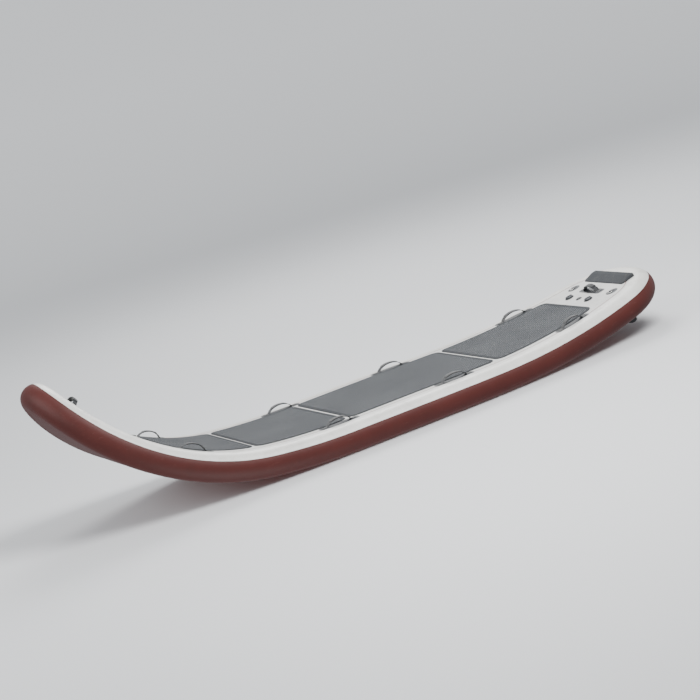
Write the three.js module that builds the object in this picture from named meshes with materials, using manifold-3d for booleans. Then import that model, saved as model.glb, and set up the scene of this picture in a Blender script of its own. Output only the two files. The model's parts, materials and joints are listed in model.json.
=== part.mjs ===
// A giant inflatable stand-up paddleboard for a whole crew. It stands level on the flat middle of its
// bottom: +X towards the nose, +Y to port, +Z up, with the origin on the floor under the middle of its length.
// Every piece is laid out on the flat pattern, as s along the board from the tail, y across it and t up from
// the bottom, and is then bent along the rocker line.
import * as THREE from "three";
import { mergeVertices } from "three/addons/utils/BufferGeometryUtils.js";
import Module from "manifold-3d";

const wasm = await Module();
wasm.setup();

// Driving dimensions, in millimetres
const LENGTH = 5180;
const WIDTH = 1524;
const THICK = 203;
const RAIL_R = THICK / 2;
const GAP = 0.3;
const SKIN = 1;
const TAPE_LAP = 40;
const BUTT = 0.6;
const DEGREE = Math.PI / 180;

// Rocker of the bottom: a tail arc, the flat that the board rests on, and two nose arcs
const FLAT_FROM = 1650;
const FLAT_TO = 2800;
const TIP_FROM = 3400;
const TAIL_BEND_R = 6000;
const NOSE_BEND_R = 5000;
const TIP_BEND_R = 1750;

// Outline: a squash tail with round corners, sides that swell to full width, and a broad round nose
const WIDEST_FROM = 2200;
const NOSE_FROM = 2750;
const TAIL_DRAW_IN = 0.38;
const TAIL_CORNER = 420;
const TAIL_POWER = 2.4;
const SWELL_POWER = 2.2;
const TAIL_STEPS = 8;
const NOSE_STEPS = 22;
const SIDE_STATIONS = [590, 760, 950, 1180, 1410, FLAT_FROM, 1760, 1870, 1980, 2090, WIDEST_FROM, 2480];
const RAIL_STEP = 15 * DEGREE;

const DECK_INSET = RAIL_R + TAPE_LAP + BUTT;

// The bottom's side view at s: where it lies, and how far it slopes up towards the nose
function rocker(s) {
  if (s < FLAT_FROM) {
    const turn = (FLAT_FROM - s) / TAIL_BEND_R;
    return {
      x: FLAT_FROM - TAIL_BEND_R * Math.sin(turn),
      z: TAIL_BEND_R * (1 - Math.cos(turn)),
      slope: -turn,
    };
  }
  if (s <= FLAT_TO) return { x: s, z: 0, slope: 0 };
  const first = (Math.min(s, TIP_FROM) - FLAT_TO) / NOSE_BEND_R;
  const slope = first + Math.max(0, s - TIP_FROM) / TIP_BEND_R;
  return {
    x: FLAT_TO + NOSE_BEND_R * Math.sin(first) + TIP_BEND_R * (Math.sin(slope) - Math.sin(first)),
    z: NOSE_BEND_R * (1 - Math.cos(first)) + TIP_BEND_R * (Math.cos(first) - Math.cos(slope)),
    slope,
  };
}

// A point of the flat pattern, bent along the rocker
function bend(s, y, t) {
  const { x, z, slope } = rocker(s);
  return new THREE.Vector3(x - t * Math.sin(slope), y, z + t * Math.cos(slope));
}

// Half the width at s, for the sides between the tail corners and the nose
function sideHalfWidth(s) {
  if (s >= WIDEST_FROM) return WIDTH / 2;
  return (WIDTH / 2) * (1 - TAIL_DRAW_IN * ((WIDEST_FROM - s) / WIDEST_FROM) ** SWELL_POWER);
}

function halfWidth(s) {
  if (s > NOSE_FROM) {
    const share = Math.min(1, (s - NOSE_FROM) / (LENGTH - NOSE_FROM));
    return (WIDTH / 2) * Math.sqrt(1 - share ** SWELL_POWER);
  }
  const share = Math.max(0, (TAIL_CORNER - s) / TAIL_CORNER);
  return sideHalfWidth(s) * (1 - share ** TAIL_POWER) ** (1 / TAIL_POWER);
}

// The port outline as stations from the tail's middle to the nose's tip, each with its outward normal
function portOutline() {
  const places = [];
  for (let i = 0; i <= TAIL_STEPS; i++) {
    const turn = (i / TAIL_STEPS) * (Math.PI / 2);
    places.push(TAIL_CORNER * (1 - Math.cos(turn) ** (2 / TAIL_POWER)));
  }
  places.push(...SIDE_STATIONS);
  for (let i = 0; i <= NOSE_STEPS; i++) {
    const turn = (i / NOSE_STEPS) * (Math.PI / 2);
    places.push(NOSE_FROM + (LENGTH - NOSE_FROM) * Math.sin(turn));
  }
  const step = 0.01;
  return places.map((s, i) => {
    if (i === 0) return { s, y: 0, outS: -1, outY: 0 };
    if (i === places.length - 1) return { s, y: 0, outS: 1, outY: 0 };
    const slope = (halfWidth(s + step) - halfWidth(s - step)) / (2 * step);
    const size = Math.hypot(slope, 1);
    return { s, y: halfWidth(s), outS: -slope / size, outY: 1 / size };
  });
}

const PORT = portOutline();
const LAST = PORT.length - 1;
const STARBOARD = PORT.slice(1, LAST).map((p) => ({ ...p, y: -p.y, outY: -p.outY }));
const LOOP = [...PORT, ...STARBOARD.reverse()];

// A line round the board, inset from its outermost line by e and at height t
function loopAt(e, t) {
  return LOOP.map((p) => bend(p.s - p.outS * e, p.y - p.outY * e, t));
}

// Where the flat strips of the deck and the bottom meet each other, and a point on those strips
const BREAKS = PORT.map((p) => p.s - p.outS * DECK_INSET);

const BENDS = BREAKS.filter((_, i) => {
  const behind = rocker(BREAKS[i - 1] ?? 0).slope;
  const ahead = rocker(BREAKS[i + 1] ?? LENGTH).slope;
  return behind !== 0 || ahead !== 0;
});

function stripAt(s) {
  return Math.max(0, BREAKS.findIndex((b) => b > s) - 1);
}

function stripPoint(s, y, t) {
  const i = stripAt(s);
  const share = (s - BREAKS[i]) / (BREAKS[i + 1] - BREAKS[i]);
  return bend(BREAKS[i], y, t).lerp(bend(BREAKS[i + 1], y, t), share);
}

function deckPoint(s, y, h) {
  return stripPoint(s, y, THICK + h);
}

function stripMiddle(s) {
  const i = stripAt(s);
  return (BREAKS[i] + BREAKS[i + 1]) / 2;
}

// A group whose own +Z leaves the deck, or the bottom, at a place, with +X towards the nose
function frameAt(s, y, onDeck) {
  const group = new THREE.Group();
  const height = onDeck ? THICK : 0;
  const middle = stripPoint(s, y, height);
  const forward = stripPoint(s + 1, y, height).sub(middle).normalize();
  const across = new THREE.Vector3(0, onDeck ? 1 : -1, 0);
  const out = new THREE.Vector3().crossVectors(forward, across);
  group.matrix.makeBasis(forward, across, out).setPosition(middle);
  group.matrix.decompose(group.position, group.quaternion, group.scale);
  return group;
}

// A closed body from points and triangles, turned so that its faces point out
function closedBody(points, faces) {
  let volume = 0;
  for (const [a, b, c] of faces) {
    volume += points[a].dot(new THREE.Vector3().crossVectors(points[b], points[c]));
  }
  const index = faces.flatMap(([a, b, c]) => (volume < 0 ? [a, c, b] : [a, b, c]));
  return new THREE.BufferGeometry().setFromPoints(points).setIndex(index);
}

// A body swept through rings of points: closed on itself, or with a flat end on its first and last ring
function sweep(rings, closed = false) {
  const points = rings.flat();
  const around = rings[0].length;
  const faces = [];
  const spans = closed ? rings.length : rings.length - 1;
  for (let k = 0; k < spans; k++) {
    const here = k * around;
    const next = ((k + 1) % rings.length) * around;
    for (let j = 0; j < around; j++) {
      const side = (j + 1) % around;
      faces.push([here + j, here + side, next + side], [here + j, next + side, next + j]);
    }
  }
  if (!closed) {
    const end = (rings.length - 1) * around;
    for (let j = 1; j < around - 1; j++) {
      faces.push([0, j + 1, j], [end, end + j, end + j + 1]);
    }
  }
  return closedBody(points, faces);
}

// A slab with the board's outline: its rows, each e and t, run round its edge from the bottom to the top,
// and strips across the board close it below and above
function slab(rows) {
  const points = rows.flatMap(([e, t]) => loopAt(e, t));
  const around = LOOP.length;
  const faces = [];
  for (let k = 0; k < rows.length - 1; k++) {
    for (let j = 0; j < around; j++) {
      const side = (j + 1) % around;
      const here = k * around;
      faces.push([here + j, here + side, here + around + side]);
      faces.push([here + j, here + around + side, here + around + j]);
    }
  }
  const opposite = (i) => (around - i) % around;
  const top = (rows.length - 1) * around;
  for (let i = 0; i < LAST; i++) {
    const [a, b, c, d] = [i, i + 1, opposite(i + 1), opposite(i)];
    if (i < LAST - 1) faces.push([a, c, b], [top + a, top + b, top + c]);
    else faces.push([a, d, b], [top + a, top + b, top + d]);
    if (i > 0 && i < LAST - 1) faces.push([a, d, c], [top + a, top + c, top + d]);
  }
  return closedBody(points, faces);
}

// A band glued round the board: the rows of its section, each e and t, swept round the outline
function roundBand(rows) {
  const lines = rows.map(([e, t]) => loopAt(e, t));
  return sweep(
    LOOP.map((_, i) => lines.map((line) => line[i])),
    true,
  );
}

// Rows on the half-round rail between two angles, at a radius about the rail's own axis
function railRows(from, to, radius) {
  const count = Math.max(1, Math.round(Math.abs(to - from) / RAIL_STEP));
  return Array.from({ length: count + 1 }, (_, i) => {
    const angle = from + ((to - from) * i) / count;
    return [RAIL_R - radius * Math.cos(angle), RAIL_R + radius * Math.sin(angle)];
  });
}

// A pad or patch on the deck between two places: its two sides and its top at s, and the places, besides
// the deck's own bends, where its outline turns
function deckPad(from, to, sidesAt, topAt, stops) {
  const bends = BENDS.filter((b) => b > from && b < to && !stops.some((s) => Math.abs(s - b) < 2));
  const places = [...stops, ...bends].sort((a, b) => a - b);
  return sweep(
    places.map((s) => {
      const [right, left] = sidesAt(s);
      return [
        deckPoint(s, right, GAP),
        deckPoint(s, left, GAP),
        deckPoint(s, left, topAt(s)),
        deckPoint(s, right, topAt(s)),
      ];
    }),
  );
}

// The same with round corners and an even thickness
function roundedPad(from, to, corner, sidesAt, high) {
  const shares = [0, 0.13, 0.5, 1];
  const stops = shares.flatMap((share) => [from + corner * share, to - corner * share]);
  const drop = (s) => {
    const past = Math.max(0, from + corner - s, s - to + corner);
    return corner - Math.sqrt(Math.max(0, corner ** 2 - past ** 2));
  };
  const rounded = (s) => {
    const [right, left] = sidesAt(s);
    return [right + drop(s), left - drop(s)];
  };
  return deckPad(from, to, rounded, () => high, stops);
}

// The manifold-3d solid of a geometry, and the geometry of a solid
function solidOf(geometry) {
  const bare = geometry.clone();
  bare.deleteAttribute("normal");
  bare.deleteAttribute("uv");
  const merged = mergeVertices(bare, 1e-4);
  return new wasm.Manifold(
    new wasm.Mesh({
      numProp: 3,
      vertProperties: merged.attributes.position.array,
      triVerts: new Uint32Array(merged.index.array),
    }),
  );
}

function geometryOf(solid) {
  const { vertProperties, triVerts } = solid.getMesh();
  const geometry = new THREE.BufferGeometry();
  geometry.setAttribute("position", new THREE.BufferAttribute(vertProperties, 3));
  return geometry.setIndex(new THREE.BufferAttribute(triVerts, 1));
}

function material(color, roughness, metalness = 0) {
  return new THREE.MeshStandardMaterial({ color, roughness, metalness });
}

const RED_PVC = material(0x6a2722, 0.5);
const WHITE_PVC = material(0xeceae4, 0.45);
const DECK_PVC = material(0xd9d9d4, 0.55);
const FOAM = material(0x3c4147, 0.9);
const PATCH_PVC = material(0x33363a, 0.6);
const WEBBING = material(0x1d1f22, 0.85);
const STEEL = material(0xb9bdc0, 0.25, 1);
const VALVE_PLASTIC = material(0x2b2d30, 0.45);
const CAP_PLASTIC = material(0x44484d, 0.4);
const FIN_PLASTIC = material(0x17181a, 0.4);

const board = new THREE.Group();

function add(name, geometry, look, parent = board) {
  const mesh = new THREE.Mesh(geometry, look.clone());
  mesh.name = name;
  parent.add(mesh);
}

// Hull: the drop-stitch chamber with its bottom sheet, rebated where the rail tapes and deck sheet are glued
const CORE_R = RAIL_R - SKIN - GAP;
const CORE_TOP = THICK - SKIN - GAP;
const QUARTER = Math.PI / 2;
add(
  "hull",
  slab([
    [DECK_INSET, 0],
    [DECK_INSET, SKIN + GAP],
    ...railRows(-QUARTER, QUARTER, CORE_R),
    [DECK_INSET, CORE_TOP],
  ]),
  RED_PVC,
);
add(
  "deck_sheet",
  slab([
    [DECK_INSET, THICK - SKIN],
    [DECK_INSET, THICK],
  ]),
  DECK_PVC,
);

// Rail tapes: two bands round the board that meet high on the rail and lap onto the deck and the bottom
const TAPE_JOINT = { at: 30 * DEGREE, half: 0.2 * DEGREE };
const JOINT_LOW = TAPE_JOINT.at - TAPE_JOINT.half;
const JOINT_HIGH = TAPE_JOINT.at + TAPE_JOINT.half;
const LAP_END = RAIL_R + TAPE_LAP;
const TAPE_INNER_R = RAIL_R - SKIN;
const FLOOR_CLEAR = 0.1;
add(
  "rail_tape_upper",
  roundBand([
    ...railRows(JOINT_HIGH, QUARTER, TAPE_INNER_R),
    [LAP_END, THICK - SKIN],
    [LAP_END, THICK],
    ...railRows(QUARTER, JOINT_HIGH, RAIL_R),
  ]),
  WHITE_PVC,
);
add(
  "rail_tape_lower",
  roundBand([
    [LAP_END, SKIN],
    ...railRows(-QUARTER, JOINT_LOW, TAPE_INNER_R),
    ...railRows(JOINT_LOW, -QUARTER, RAIL_R - FLOOR_CLEAR),
    [LAP_END, FLOOR_CLEAR],
  ]),
  RED_PVC,
);

// Foam deck pads, with round corners, inboard of the side handles
const PAD_H = 5 + GAP;
const PAD_INSET = 232;
const PAD_CORNER = 60;
const PADS = [
  // name, from and to along the board
  { name: "deck_pad_rear", from: 640, to: 1540 },
  { name: "deck_pad_middle", from: 1562, to: 2726 },
  { name: "deck_pad_front", from: 2748, to: 3450 },
  { name: "deck_pad_bow", from: 3472, to: 4180 },
];

for (const { name, from, to } of PADS) {
  const sides = (s) => [PAD_INSET - halfWidth(s), halfWidth(s) - PAD_INSET];
  add(name, roundedPad(from, to, PAD_CORNER, sides, PAD_H), FOAM);
}

// Kick pad: a wedge of foam across the tail that the steersman's back foot braces on
const KICK = { from: 172, to: 300, half: 300, bevel: 14, ridge: 44, low: 7, high: 26 };
const kickEdge = (s) => Math.min(s - KICK.from, KICK.to - s, KICK.bevel) - KICK.bevel;
const kickTop = (s) => {
  const slope = (KICK.high - KICK.low) / (KICK.to - KICK.from - KICK.ridge);
  return KICK.high - Math.max(0, s - KICK.from - KICK.ridge) * slope + kickEdge(s) / 4;
};
add(
  "kick_pad",
  deckPad(
    KICK.from,
    KICK.to,
    (s) => [-KICK.half - kickEdge(s), KICK.half + kickEdge(s)],
    kickTop,
    [KICK.from, KICK.from + KICK.bevel, KICK.from + KICK.ridge, KICK.to - KICK.bevel, KICK.to],
  ),
  FOAM,
);

// Handles: a patch welded to the deck and a webbing strap that arches over it inside a padded sleeve
const PATCH_H = 1.2 + GAP;
const STRAP = { arch: 92, thick: 3, sleeve: 62, sleeveThick: 8 };
const STRAP_STOPS = [135, 104, 92, 88, 78, 62, 60, 32, 0];
const HANDLE_INSET = 187;
const SIDE_HANDLE = { width: 50, rise: 40, patchL: 310, patchW: 84, corner: 30 };

function strap(width, rise, place) {
  const stops = [...STRAP_STOPS.map((along) => -along), ...STRAP_STOPS.slice(0, -1).reverse()];
  return sweep(
    stops.map((along) => {
      const away = Math.abs(along);
      const over = rise * Math.max(0, 1 - (away / STRAP.arch) ** 2) ** 0.6;
      const low = PATCH_H + GAP + over;
      const high = low + (away < STRAP.sleeve ? STRAP.sleeveThick : STRAP.thick);
      const half = width / 2;
      const corners = [[-half, low], [half, low], [half, high], [-half, high]];
      return corners.map(([across, h]) => place(along, across, h));
    }),
  );
}

const SIDE_HANDLES = [
  // name, place along the board
  { name: "stern", at: 900 },
  { name: "aft", at: 1900 },
  { name: "fore", at: 2900 },
  { name: "bow", at: 3900 },
];
const SIDES = [
  { name: "port", sign: 1 },
  { name: "starboard", sign: -1 },
];
for (const { name, at } of SIDE_HANDLES) {
  for (const side of SIDES) {
    const middle = stripMiddle(at);
    const lineAt = (s) => side.sign * (halfWidth(s) - HANDLE_INSET);
    const { width, rise, patchL, patchW, corner } = SIDE_HANDLE;
    const edges = (s) => [lineAt(s) - patchW / 2, lineAt(s) + patchW / 2];
    const patch = roundedPad(middle - patchL / 2, middle + patchL / 2, corner, edges, PATCH_H);
    add(`handle_patch_${name}_${side.name}`, patch, PATCH_PVC);
    const place = (along, across, h) => deckPoint(middle + along, lineAt(middle + along) + across, h);
    add(`handle_strap_${name}_${side.name}`, strap(width, rise, place), WEBBING);
  }
}

const END_HANDLES = [
  // name, place along the board, rise of the strap
  { name: "nose", at: 4850, rise: 54 },
  { name: "tail", at: 400, rise: 40 },
];
const END_HANDLE = { width: 40, patchL: 72, patchW: 320, corner: 24 };
for (const { name, at, rise } of END_HANDLES) {
  const { width, patchL, patchW, corner } = END_HANDLE;
  const middle = stripMiddle(at);
  const edges = () => [-patchW / 2, patchW / 2];
  const patch = roundedPad(middle - patchL / 2, middle + patchL / 2, corner, edges, PATCH_H);
  add(`handle_patch_${name}`, patch, PATCH_PVC);
  const place = (along, across, h) => deckPoint(middle + across, along, h);
  add(`handle_strap_${name}`, strap(width, rise, place), WEBBING);
}

// D-rings: a steel ring whose bar turns in a webbing tab that is sewn to a round patch
const WIRE_R = 2.5;
const RING = { half: 20, reach: 28, corner: 5, sides: 8 };
const TAB = { half: 14, tail: 34, ply: 1.4, bore: WIRE_R + 0.4 };
const RING_PATCH_R = 48;
const RING_PATCH_FLAT = 6;
const RING_PATCH_SHIFT = 8;
const TAB_SINK = 0.4;
const HINGE_H = PATCH_H - TAB_SINK + TAB.ply + TAB.bore;
const D_RINGS = [
  // name, place along the board, place across it, and which way the ring lies at rest
  { name: "tow_nose", at: 4960, y: 0, lies: -1 },
  { name: "cargo_fore_port", at: 4640, y: 200, lies: -1 },
  { name: "cargo_fore_starboard", at: 4640, y: -200, lies: -1 },
  { name: "cargo_aft_port", at: 4330, y: 290, lies: -1 },
  { name: "cargo_aft_starboard", at: 4330, y: -290, lies: -1 },
  { name: "leash_tail_port", at: 400, y: 300, lies: 1 },
  { name: "leash_tail_starboard", at: 400, y: -300, lies: 1 },
];

function ringGeometry() {
  const { half, reach, corner, sides } = RING;
  const arcs = [
    // centre of the arc, its radius, from and to in quarter turns, and its steps
    { x: corner, y: corner - half, radius: corner, from: -2, to: -1, steps: 2 },
    { x: reach - half, y: 0, radius: half, from: -1, to: 1, steps: 8 },
    { x: corner, y: half - corner, radius: corner, from: 1, to: 2, steps: 2 },
  ];
  const rings = [];
  for (const { x, y, radius, from, to, steps } of arcs) {
    for (let i = 0; i <= steps; i++) {
      const turn = (from + ((to - from) * i) / steps) * QUARTER;
      const ring = [];
      for (let k = 0; k < sides; k++) {
        const round = (k / sides) * 2 * Math.PI;
        const out = radius + WIRE_R * Math.cos(round);
        const up = HINGE_H + WIRE_R * Math.sin(round);
        ring.push(new THREE.Vector3(x + out * Math.cos(turn), y + out * Math.sin(turn), up));
      }
      rings.push(ring);
    }
  }
  return sweep(rings, true);
}

function tabGeometry() {
  const low = PATCH_H - TAB_SINK;
  const outer = TAB.bore + TAB.ply;
  const ply = low + 2 * TAB.ply;
  const shape = new THREE.Shape();
  shape.moveTo(-TAB.tail, low);
  shape.lineTo(0, low);
  shape.absarc(0, HINGE_H, outer, -QUARTER, Math.PI * 0.86, false);
  shape.lineTo(-2 * outer, ply);
  shape.lineTo(-TAB.tail, ply);
  const hole = new THREE.Path();
  hole.absarc(0, HINGE_H, TAB.bore, 0, 2 * Math.PI, true);
  shape.holes.push(hole);
  const tab = new THREE.ExtrudeGeometry(shape, { depth: 2 * TAB.half, bevelEnabled: false, curveSegments: 8 });
  tab.translate(0, 0, -TAB.half);
  return tab.rotateX(QUARTER);
}

for (const { name, at, y, lies } of D_RINGS) {
  const middle = stripMiddle(at);
  const place = frameAt(middle, y, true);
  if (lies < 0) place.rotateZ(Math.PI);
  board.add(place);
  const centre = middle - lies * RING_PATCH_SHIFT;
  const [from, to] = [centre - RING_PATCH_R, centre + RING_PATCH_R];
  const half = RING_PATCH_R - RING_PATCH_FLAT;
  const sides = () => [y - RING_PATCH_R, y + RING_PATCH_R];
  const patch = roundedPad(from, to, half, sides, PATCH_H);
  place.updateMatrix();
  const tab = solidOf(tabGeometry().applyMatrix4(place.matrix));
  add(`dring_mount_${name}`, geometryOf(solidOf(patch).add(tab)), PATCH_PVC);
  add(`dring_${name}`, ringGeometry(), STEEL, place);
}

// Valves: a flanged body set in the deck, and a bayonet cap with a grip bar over it
const VALVE = { flange: 34, boss: 24, flangeH: 3, bossH: 10, capR: 29, capH: 14, grip: [46, 8, 5] };
const VALVE_SIDES = 20;
const VALVES = [
  // name, place across the board
  { name: "port", y: 150 },
  { name: "starboard", y: -150 },
];
const VALVE_AT = 500;

function turned(profile) {
  const points = profile.map(([r, z]) => new THREE.Vector2(r, z));
  return new THREE.LatheGeometry(points, VALVE_SIDES).rotateX(QUARTER);
}

function capGeometry() {
  const { boss, flangeH, bossH, capR, capH, grip } = VALVE;
  const clear = 0.6;
  const shell = turned([
    [0, bossH + clear],
    [boss + clear, bossH + clear],
    [boss + clear, flangeH + clear],
    [capR, flangeH + clear],
    [capR, capH - 2],
    [capR - 2, capH],
    [0, capH],
  ]);
  const sink = 1;
  const bar = new THREE.BoxGeometry(grip[0], grip[1], grip[2] + sink);
  bar.translate(0, 0, capH + (grip[2] - sink) / 2);
  return geometryOf(solidOf(shell).add(solidOf(bar)));
}

for (const { name, y } of VALVES) {
  const place = frameAt(stripMiddle(VALVE_AT), y, true);
  board.add(place);
  const { flange, boss, flangeH, bossH } = VALVE;
  const body = turned([
    [0, GAP],
    [flange, GAP],
    [flange, flangeH - 1],
    [flange - 1, flangeH],
    [boss, flangeH],
    [boss, bossH],
    [0, bossH],
  ]);
  add(`valve_body_${name}`, body, VALVE_PLASTIC, place);
  add(`valve_cap_${name}`, capGeometry(), CAP_PLASTIC, place);
}

const reliefPlace = frameAt(stripMiddle(VALVE_AT), 0, true);
board.add(reliefPlace);
add(
  "relief_valve",
  turned([
    [0, GAP],
    [24, GAP],
    [24, 2.5],
    [18, 3.5],
    [16, 6.5],
    [12, 8],
    [0, 8],
  ]),
  VALVE_PLASTIC,
  reliefPlace,
);

// Fins: each has a box on a base plate under the tail, with a T-slot that the fin's root slides into
const FIN_BOX = { plateL: 250, plateW: 90, plateH: 4, length: 190, half: 17, high: 15, wall: 10 };
const SLOT = { half: 8.4, from: 4.6, neck: 5.4, lip: 9.6 };
const ROOT = { half: 8, from: 5, neck: 5, lip: 9.2, length: 150 };
const BLADE = { root: 142, tip: 46, deep: 85, rake: 84, thick: 9 };
const FINS = [
  // name, place along the board and across it, toe-in in degrees
  { name: "centre", at: 275, y: 0, toe: 0 },
  { name: "port", at: 350, y: 250, toe: 2 },
  { name: "starboard", at: 350, y: -250, toe: -2 },
];

// A profile across the box, each point y and z, extruded along x between two places
function alongBox(profile, from, to) {
  const shape = new THREE.Shape(profile.map(([y, z]) => new THREE.Vector2(y, z)));
  const body = new THREE.ExtrudeGeometry(shape, { depth: to - from, bevelEnabled: false });
  const turn = new THREE.Matrix4().set(0, 0, 1, from, 1, 0, 0, 0, 0, 1, 0, 0, 0, 0, 0, 1);
  return body.applyMatrix4(turn);
}

function teeProfile({ half, from, neck, lip }, top) {
  return [
    [-half, from],
    [half, from],
    [half, lip],
    [neck, lip],
    [neck, top],
    [-neck, top],
    [-neck, lip],
    [-half, lip],
  ];
}

function finBoxGeometry() {
  const { plateL, plateW, plateH, length, half, high, wall } = FIN_BOX;
  const radius = 20;
  const plate = new THREE.Shape();
  const [cornerX, cornerY] = [plateL / 2 - radius, plateW / 2 - radius];
  plate.absarc(cornerX, cornerY, radius, 0, QUARTER, false);
  plate.absarc(-cornerX, cornerY, radius, QUARTER, Math.PI, false);
  plate.absarc(-cornerX, -cornerY, radius, Math.PI, 3 * QUARTER, false);
  plate.absarc(cornerX, -cornerY, radius, 3 * QUARTER, 4 * QUARTER, false);
  const flange = new THREE.ExtrudeGeometry(plate, { depth: plateH - GAP, bevelEnabled: false, curveSegments: 4 });
  flange.translate(0, 0, GAP);
  const body = [
    [-half - 4, plateH - 1],
    [half + 4, plateH - 1],
    [half, high],
    [-half, high],
  ];
  const slot = alongBox(teeProfile(SLOT, high + 1), -length / 2 - 1, length / 2 - wall);
  const channel = solidOf(alongBox(body, -length / 2, length / 2));
  return geometryOf(solidOf(flange).add(channel).subtract(solidOf(slot)));
}

function finGeometry() {
  const front = FIN_BOX.length / 2 - FIN_BOX.wall - 0.4;
  const top = FIN_BOX.high + 2;
  const root = alongBox(teeProfile(ROOT, top), front - ROOT.length, front);
  const levels = [0, 0.3, 0.6, 0.85, 1];
  const section = [
    // share of the chord from the front, share of the half thickness
    [0, 0],
    [0.12, 0.7],
    [0.35, 1],
    [0.7, 0.6],
    [1, 0.1],
    [1, -0.1],
    [0.7, -0.6],
    [0.35, -1],
    [0.12, -0.7],
  ];
  const rings = levels.map((level) => {
    const chord = BLADE.root + (BLADE.tip - BLADE.root) * level ** 1.3;
    const nose = front - 4 - BLADE.rake * level ** 1.5;
    const half = (BLADE.thick / 2) * (1 - 0.6 * level);
    const z = top - 1 + BLADE.deep * level;
    return section.map(([along, side]) => new THREE.Vector3(nose - chord * along, half * side, z));
  });
  return geometryOf(solidOf(root).add(solidOf(sweep(rings))));
}

for (const { name, at, y, toe } of FINS) {
  const place = frameAt(at, y, false);
  place.rotateZ(toe * DEGREE);
  board.add(place);
  add(`fin_box_${name}`, finBoxGeometry(), VALVE_PLASTIC, place);
  add(`fin_${name}`, finGeometry(), FIN_PLASTIC, place);
}

// The origin lies under the middle of the board's length
board.updateMatrixWorld(true);
const reach = new THREE.Box3().setFromObject(board);
board.position.x = -(reach.min.x + reach.max.x) / 2;

const part = new THREE.Group();
part.add(board);

export default part;
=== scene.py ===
import json
import math
import random

import bmesh
import bpy
from mathutils import Matrix, Quaternion, Vector


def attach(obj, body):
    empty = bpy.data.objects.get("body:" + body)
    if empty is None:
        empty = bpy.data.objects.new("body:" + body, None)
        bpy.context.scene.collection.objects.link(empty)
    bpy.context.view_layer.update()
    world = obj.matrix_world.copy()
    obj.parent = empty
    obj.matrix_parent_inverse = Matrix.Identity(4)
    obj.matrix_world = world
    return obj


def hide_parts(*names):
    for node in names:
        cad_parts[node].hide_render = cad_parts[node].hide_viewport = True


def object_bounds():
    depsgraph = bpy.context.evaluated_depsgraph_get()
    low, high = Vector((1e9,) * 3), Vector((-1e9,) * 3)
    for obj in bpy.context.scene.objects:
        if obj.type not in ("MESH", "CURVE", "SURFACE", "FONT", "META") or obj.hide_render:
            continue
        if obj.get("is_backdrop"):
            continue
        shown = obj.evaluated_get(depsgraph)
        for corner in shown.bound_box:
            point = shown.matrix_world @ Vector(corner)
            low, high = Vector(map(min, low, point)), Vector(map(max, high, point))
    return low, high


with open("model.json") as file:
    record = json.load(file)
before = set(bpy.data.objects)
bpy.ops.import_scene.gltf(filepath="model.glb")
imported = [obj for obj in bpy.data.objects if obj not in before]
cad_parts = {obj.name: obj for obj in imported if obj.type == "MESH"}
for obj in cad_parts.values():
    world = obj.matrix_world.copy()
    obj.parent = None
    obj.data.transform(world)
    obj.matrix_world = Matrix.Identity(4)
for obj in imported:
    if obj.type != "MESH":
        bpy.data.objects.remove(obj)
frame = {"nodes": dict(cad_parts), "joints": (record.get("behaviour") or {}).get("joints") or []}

cad_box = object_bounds()

# Chamber: the drop-stitch core, two faces of coated cloth tied by thousands of threads, so that it holds an
# even 203 mm under pressure. It is glued up flat, and the lengths of its faces bend it along the rocker. Its
# dark red bottom sheet shows between the rail tapes, and the rest of it lies under them.
LENGTH, WIDTH, THICK = 5.180, 1.524, 0.203
RAIL_R = THICK / 2
FLAT_FROM, FLAT_TO, TIP_FROM = 1.650, 2.800, 3.400
TAIL_BEND_R, NOSE_BEND_R, TIP_BEND_R = 6.000, 5.000, 1.750
WIDEST_FROM, NOSE_FROM, TAIL_CORNER = 2.200, 2.750, 0.420
TAIL_DRAW_IN, TAIL_POWER, SWELL_POWER = 0.38, 2.4, 2.2
TAIL_STEPS, SIDE_STEPS, NOSE_STEPS = 60, 80, 150
SKIN, GAP, LAP, DECK_GAP = 0.001, 0.0003, 0.040, 0.0006
DECK_INSET = RAIL_R + LAP + DECK_GAP
CORE_R = RAIL_R - SKIN - GAP
CLOTH_RELIEF, THREAD_RELIEF, TIE_PITCH = 0.0016, 0.035, 0.012
MOTTLED, SCUFFED, SCUFF_ROUGH, STAINED = 0.86, 0.35, 0.14, 0.30
LAP_HALF, LAP_SLOPE, LAP_STEP = 0.016, 0.0012, 0.5
SEAM_AT, SEAM_HALF, SEAM_FADE, SEAM_STAIN = LAP_HALF + 0.001, 0.0004, 0.0016, 0.45
RED, RUBBED_RED, DULL_RED = (0.092, 0.020, 0.0165), (0.20, 0.09, 0.075), (0.045, 0.02, 0.016)
QUARTER = math.pi / 2


def rocker(s):
    """How far forward and how high the rocker line is at s, and its slope."""
    if s < FLAT_FROM:
        turn = (FLAT_FROM - s) / TAIL_BEND_R
        return FLAT_FROM - TAIL_BEND_R * math.sin(turn), TAIL_BEND_R * (1 - math.cos(turn)), -turn
    if s <= FLAT_TO:
        return s, 0.0, 0.0
    first = (min(s, TIP_FROM) - FLAT_TO) / NOSE_BEND_R
    slope = first + max(0.0, s - TIP_FROM) / TIP_BEND_R
    x = FLAT_TO + NOSE_BEND_R * math.sin(first) + TIP_BEND_R * (math.sin(slope) - math.sin(first))
    return x, NOSE_BEND_R * (1 - math.cos(first)) + TIP_BEND_R * (math.cos(first) - math.cos(slope)), slope


def bent(s, y, t, aft=0.0):
    """Where a point of the flat pattern comes to, s from the tail, y to port and t up from the bottom."""
    x, z, slope = rocker(s)
    return Vector((x - t * math.sin(slope) + aft, y, z + t * math.cos(slope)))


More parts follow.
